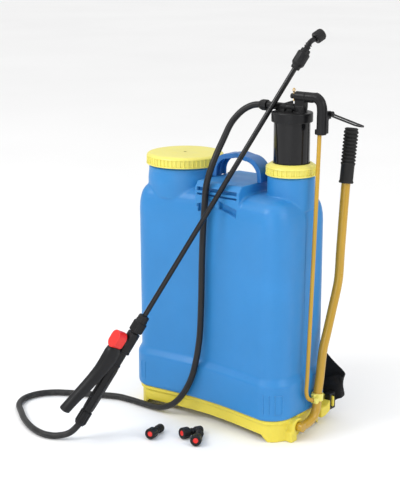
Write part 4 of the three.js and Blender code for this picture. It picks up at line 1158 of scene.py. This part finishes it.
def ribbon(name, frames, outline, look, uv_name="weave"):
    """A strip whose section, (across, out) in mm, is given at each frame by outline(k, distance)."""
    rings, uv = [], []
    along = 0.0
    for k, (centre, wide, face) in enumerate(frames):
        if k:
            along += (centre - frames[k - 1][0]).length
        ring = []
        for u, v in outline(k, along):
            ring.append(TO_ROW @ (centre + wide * u + face * v))
            uv.append((u * MM, along * MM))
        rings.append(ring)
    points, faces = skin(rings)
    return mesh_object(name, points, faces, look, uv, uv_name, sharp=60)


def webbing_outline(width, thick):
    half, deep = width / 2, thick / 2
    section_points = []
    for i in range(17):
        u = -half + width * i / 16
        section_points.append((u, deep * (1 - 0.55 * (abs(u) / half) ** 10)))
    return [*section_points, *[(u, -v) for u, v in section_points[::-1]]]


def dashes(name, rows, radius=0.42, look="thread"):
    """Stitches: short rounded dashes between pairs of points (mm)."""
    points, faces = [], []
    for start, end, out in rows:
        a, b = Vector(start), Vector(end)
        along = (b - a).normalized()
        sideways = along.cross(out).normalized()
        base = len(points)
        for t, k in ((0, 0.25), (0.25, 1), (0.75, 1), (1, 0.25)):
            centre = a.lerp(b, t) + out * radius * 0.5
            for i in range(6):
                angle = 2 * math.pi * i / 6
                spoke = sideways * math.cos(angle) + out * math.sin(angle)
                points.append(TO_ROW @ (centre + spoke * radius * k))
        for level in range(3):
            for i in range(6):
                p, q = base + level * 6 + i, base + level * 6 + (i + 1) % 6
                faces.append((p, q, q + 6, p + 6))
        faces.append(tuple(base + i for i in range(6)))
        faces.append(tuple(base + 18 + i for i in range(6)))
    return mesh_object(name, points, faces, look)


def stitch_row(frames, across, out, first, last, duty=0.62):
    """Dashes along a strip, one for each pair of frames."""
    rows = []
    for k in range(first, last):
        (c0, w0, f0), (c1, w1, f1) = frames[k], frames[k + 1]
        a = c0 + w0 * across + f0 * out
        b = c1 + w1 * across + f1 * out
        sign = math.copysign(1, out)
        rows.append((a, a.lerp(b, duty), f0 * sign))
    return rows


def make_strap(side, label):
    frames = ribbon_frames(STRAP, side, 240)
    outline = webbing_outline(WEBBING["width"], WEBBING["thick"])
    strap = ribbon(f"strap_{label}_look", frames, lambda k, along: outline, "webbing")
    rows = []
    for face in (1.05, -1.05):
        for across in (-18, 18):
            rows += stitch_row(frames, across, face, 2, 14)
    stitches = dashes("strap_stitches", rows)
    place(join(f"strap_{label}_look", strap, stitches), "frame", f"strap_{label}", slot="webbing")


def make_pad(side, label):
    """Shoulder pad: a stuffed sleeve pulled in at its ends and at sewn cross channels, with a bound edge."""
    count = 120
    frames = ribbon_frames(PAD_LINE, side, count)
    length = sum((frames[k + 1][0] - frames[k][0]).length for k in range(count))
    channels = [length * t for t in (0.22, 0.42, 0.62, 0.82)]
    half, deep = PAD["width"] / 2, PAD["thick"] / 2

    def outline(k, along):
        end = min(along, length - along)
        taper = min(1.0, (end / 9.0)) ** 0.5 if end < 9 else 1.0
        pinch = 1 - sum(0.42 * math.exp(-((along - c) / 2.6) ** 2) for c in channels)
        full = deep * max(taper, 0.22) * pinch
        points = []
        for i in range(25):
            u = -1 + 2 * i / 24
            lift = (1 - abs(u) ** 3.2) ** 0.55
            wrinkle = 0.25 * math.sin(along * 0.55 + 5 * u) * (1 - u * u)
            bind = 0.9 if abs(u) > 0.9 else 0
            points.append((u * half * (0.94 + 0.06 * taper),
                max(full * lift, bind) + wrinkle * (taper * pinch) * 0.6))
        back = [(u, -v * 0.8) for u, v in points[::-1]]
        return [*points, *back]

    pad = ribbon(f"shoulder_pad_{label}_look", frames, outline, "pad")
    rows = []
    for across in (-24.5, 24.5):
        rows += stitch_row(frames, across, 3.3, 4, count - 4)
    for c in channels:
        k = int(count * c / length)
        centre, wide, face = frames[k]
        for i in range(-13, 13):
            a = centre + wide * (i * 1.8) + face * (deep * 0.57)
            rows.append((a, a + wide * 1.15, face))
    stitches = dashes("pad_stitches", rows)
    edges = []
    for across in (-half, half):
        line = [c + w * across * 0.985 for c, w, f in frames]
        edges.append(tube("piping", [tuple(p) for p in line], 1.15, "webbing", 10, uv_name="weave"))
    pad = join(f"shoulder_pad_{label}_look", pad, stitches, *edges)
    place(pad, "frame", f"shoulder_pad_{label}", slot="pad_cloth")


# ---- the rest of the CAD pieces ------------------------------------------------------------------------
SOFTENED = {
    "retaining_loop": ("black", 0.0005, 2, "loop", "black_plastic"),
    "strap_bar": ("black", 0.0010, 3, "frame", "black_plastic"),
    "strap_buckle_right": ("black", 0.0007, 3, "frame", "black_plastic"),
    "strap_buckle_left": ("black", 0.0007, 3, "frame", "black_plastic"),
    "cotter_pin": ("brass", 0.0003, 2, "rod", "brass"),
    "shaft_washer": ("steel", 0.0004, 2, "lever_arm", "steel"),
    "lever_shaft": ("steel", 0.0007, 4, "lever_arm", "steel"),
}
KEPT = {
    "filler_gasket": "rubber",
    "filler_strainer": "black",
    "barrel_gasket": "rubber",
    "pump_barrel": "white",
    "inlet_ball": "steel",
    "suction_pipe": "white",
    "suction_strainer": "black",
    "delivery_ball": "steel",
    "piston_seal": "rubber",
    "piston_retainer": "white",
    "dip_tube": "white",
    "shaft_bush_right": "white",
    "shaft_bush_left": "white",
    "valve_stem": "brass",
    "valve_spring": "steel",
    "nozzle_core": "black",
}


def make_small_pieces():
    for node, (look, voxel, rounds, body, slot) in SOFTENED.items():
        place(softened(node, look, voxel, rounds), body, node, slot=slot)
    for node, look in KEPT.items():
        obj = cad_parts[node]
        obj.data.materials.clear()
        obj.data.materials.append(LOOK[look])


def main():
    add_camera()
    add_studio()
    make_hose()
    tank = make_tank()
    place(join("tank_look", *tank), "frame", "tank", slot="blue_tank")
    make_base()
    make_handle()
    make_filler_cap()
    make_ring_nut()
    make_chamber()
    make_lid()
    make_pump_hose_nut()
    make_elbow()
    make_rod()
    make_lever()
    make_grip()
    make_clip_and_bush()
    make_wand()
    make_trigger()
    make_spares()
    for side, label in ((1, "right"), (-1, "left")):
        make_strap(side, label)
        make_pad(side, label)
    make_small_pieces()


main()
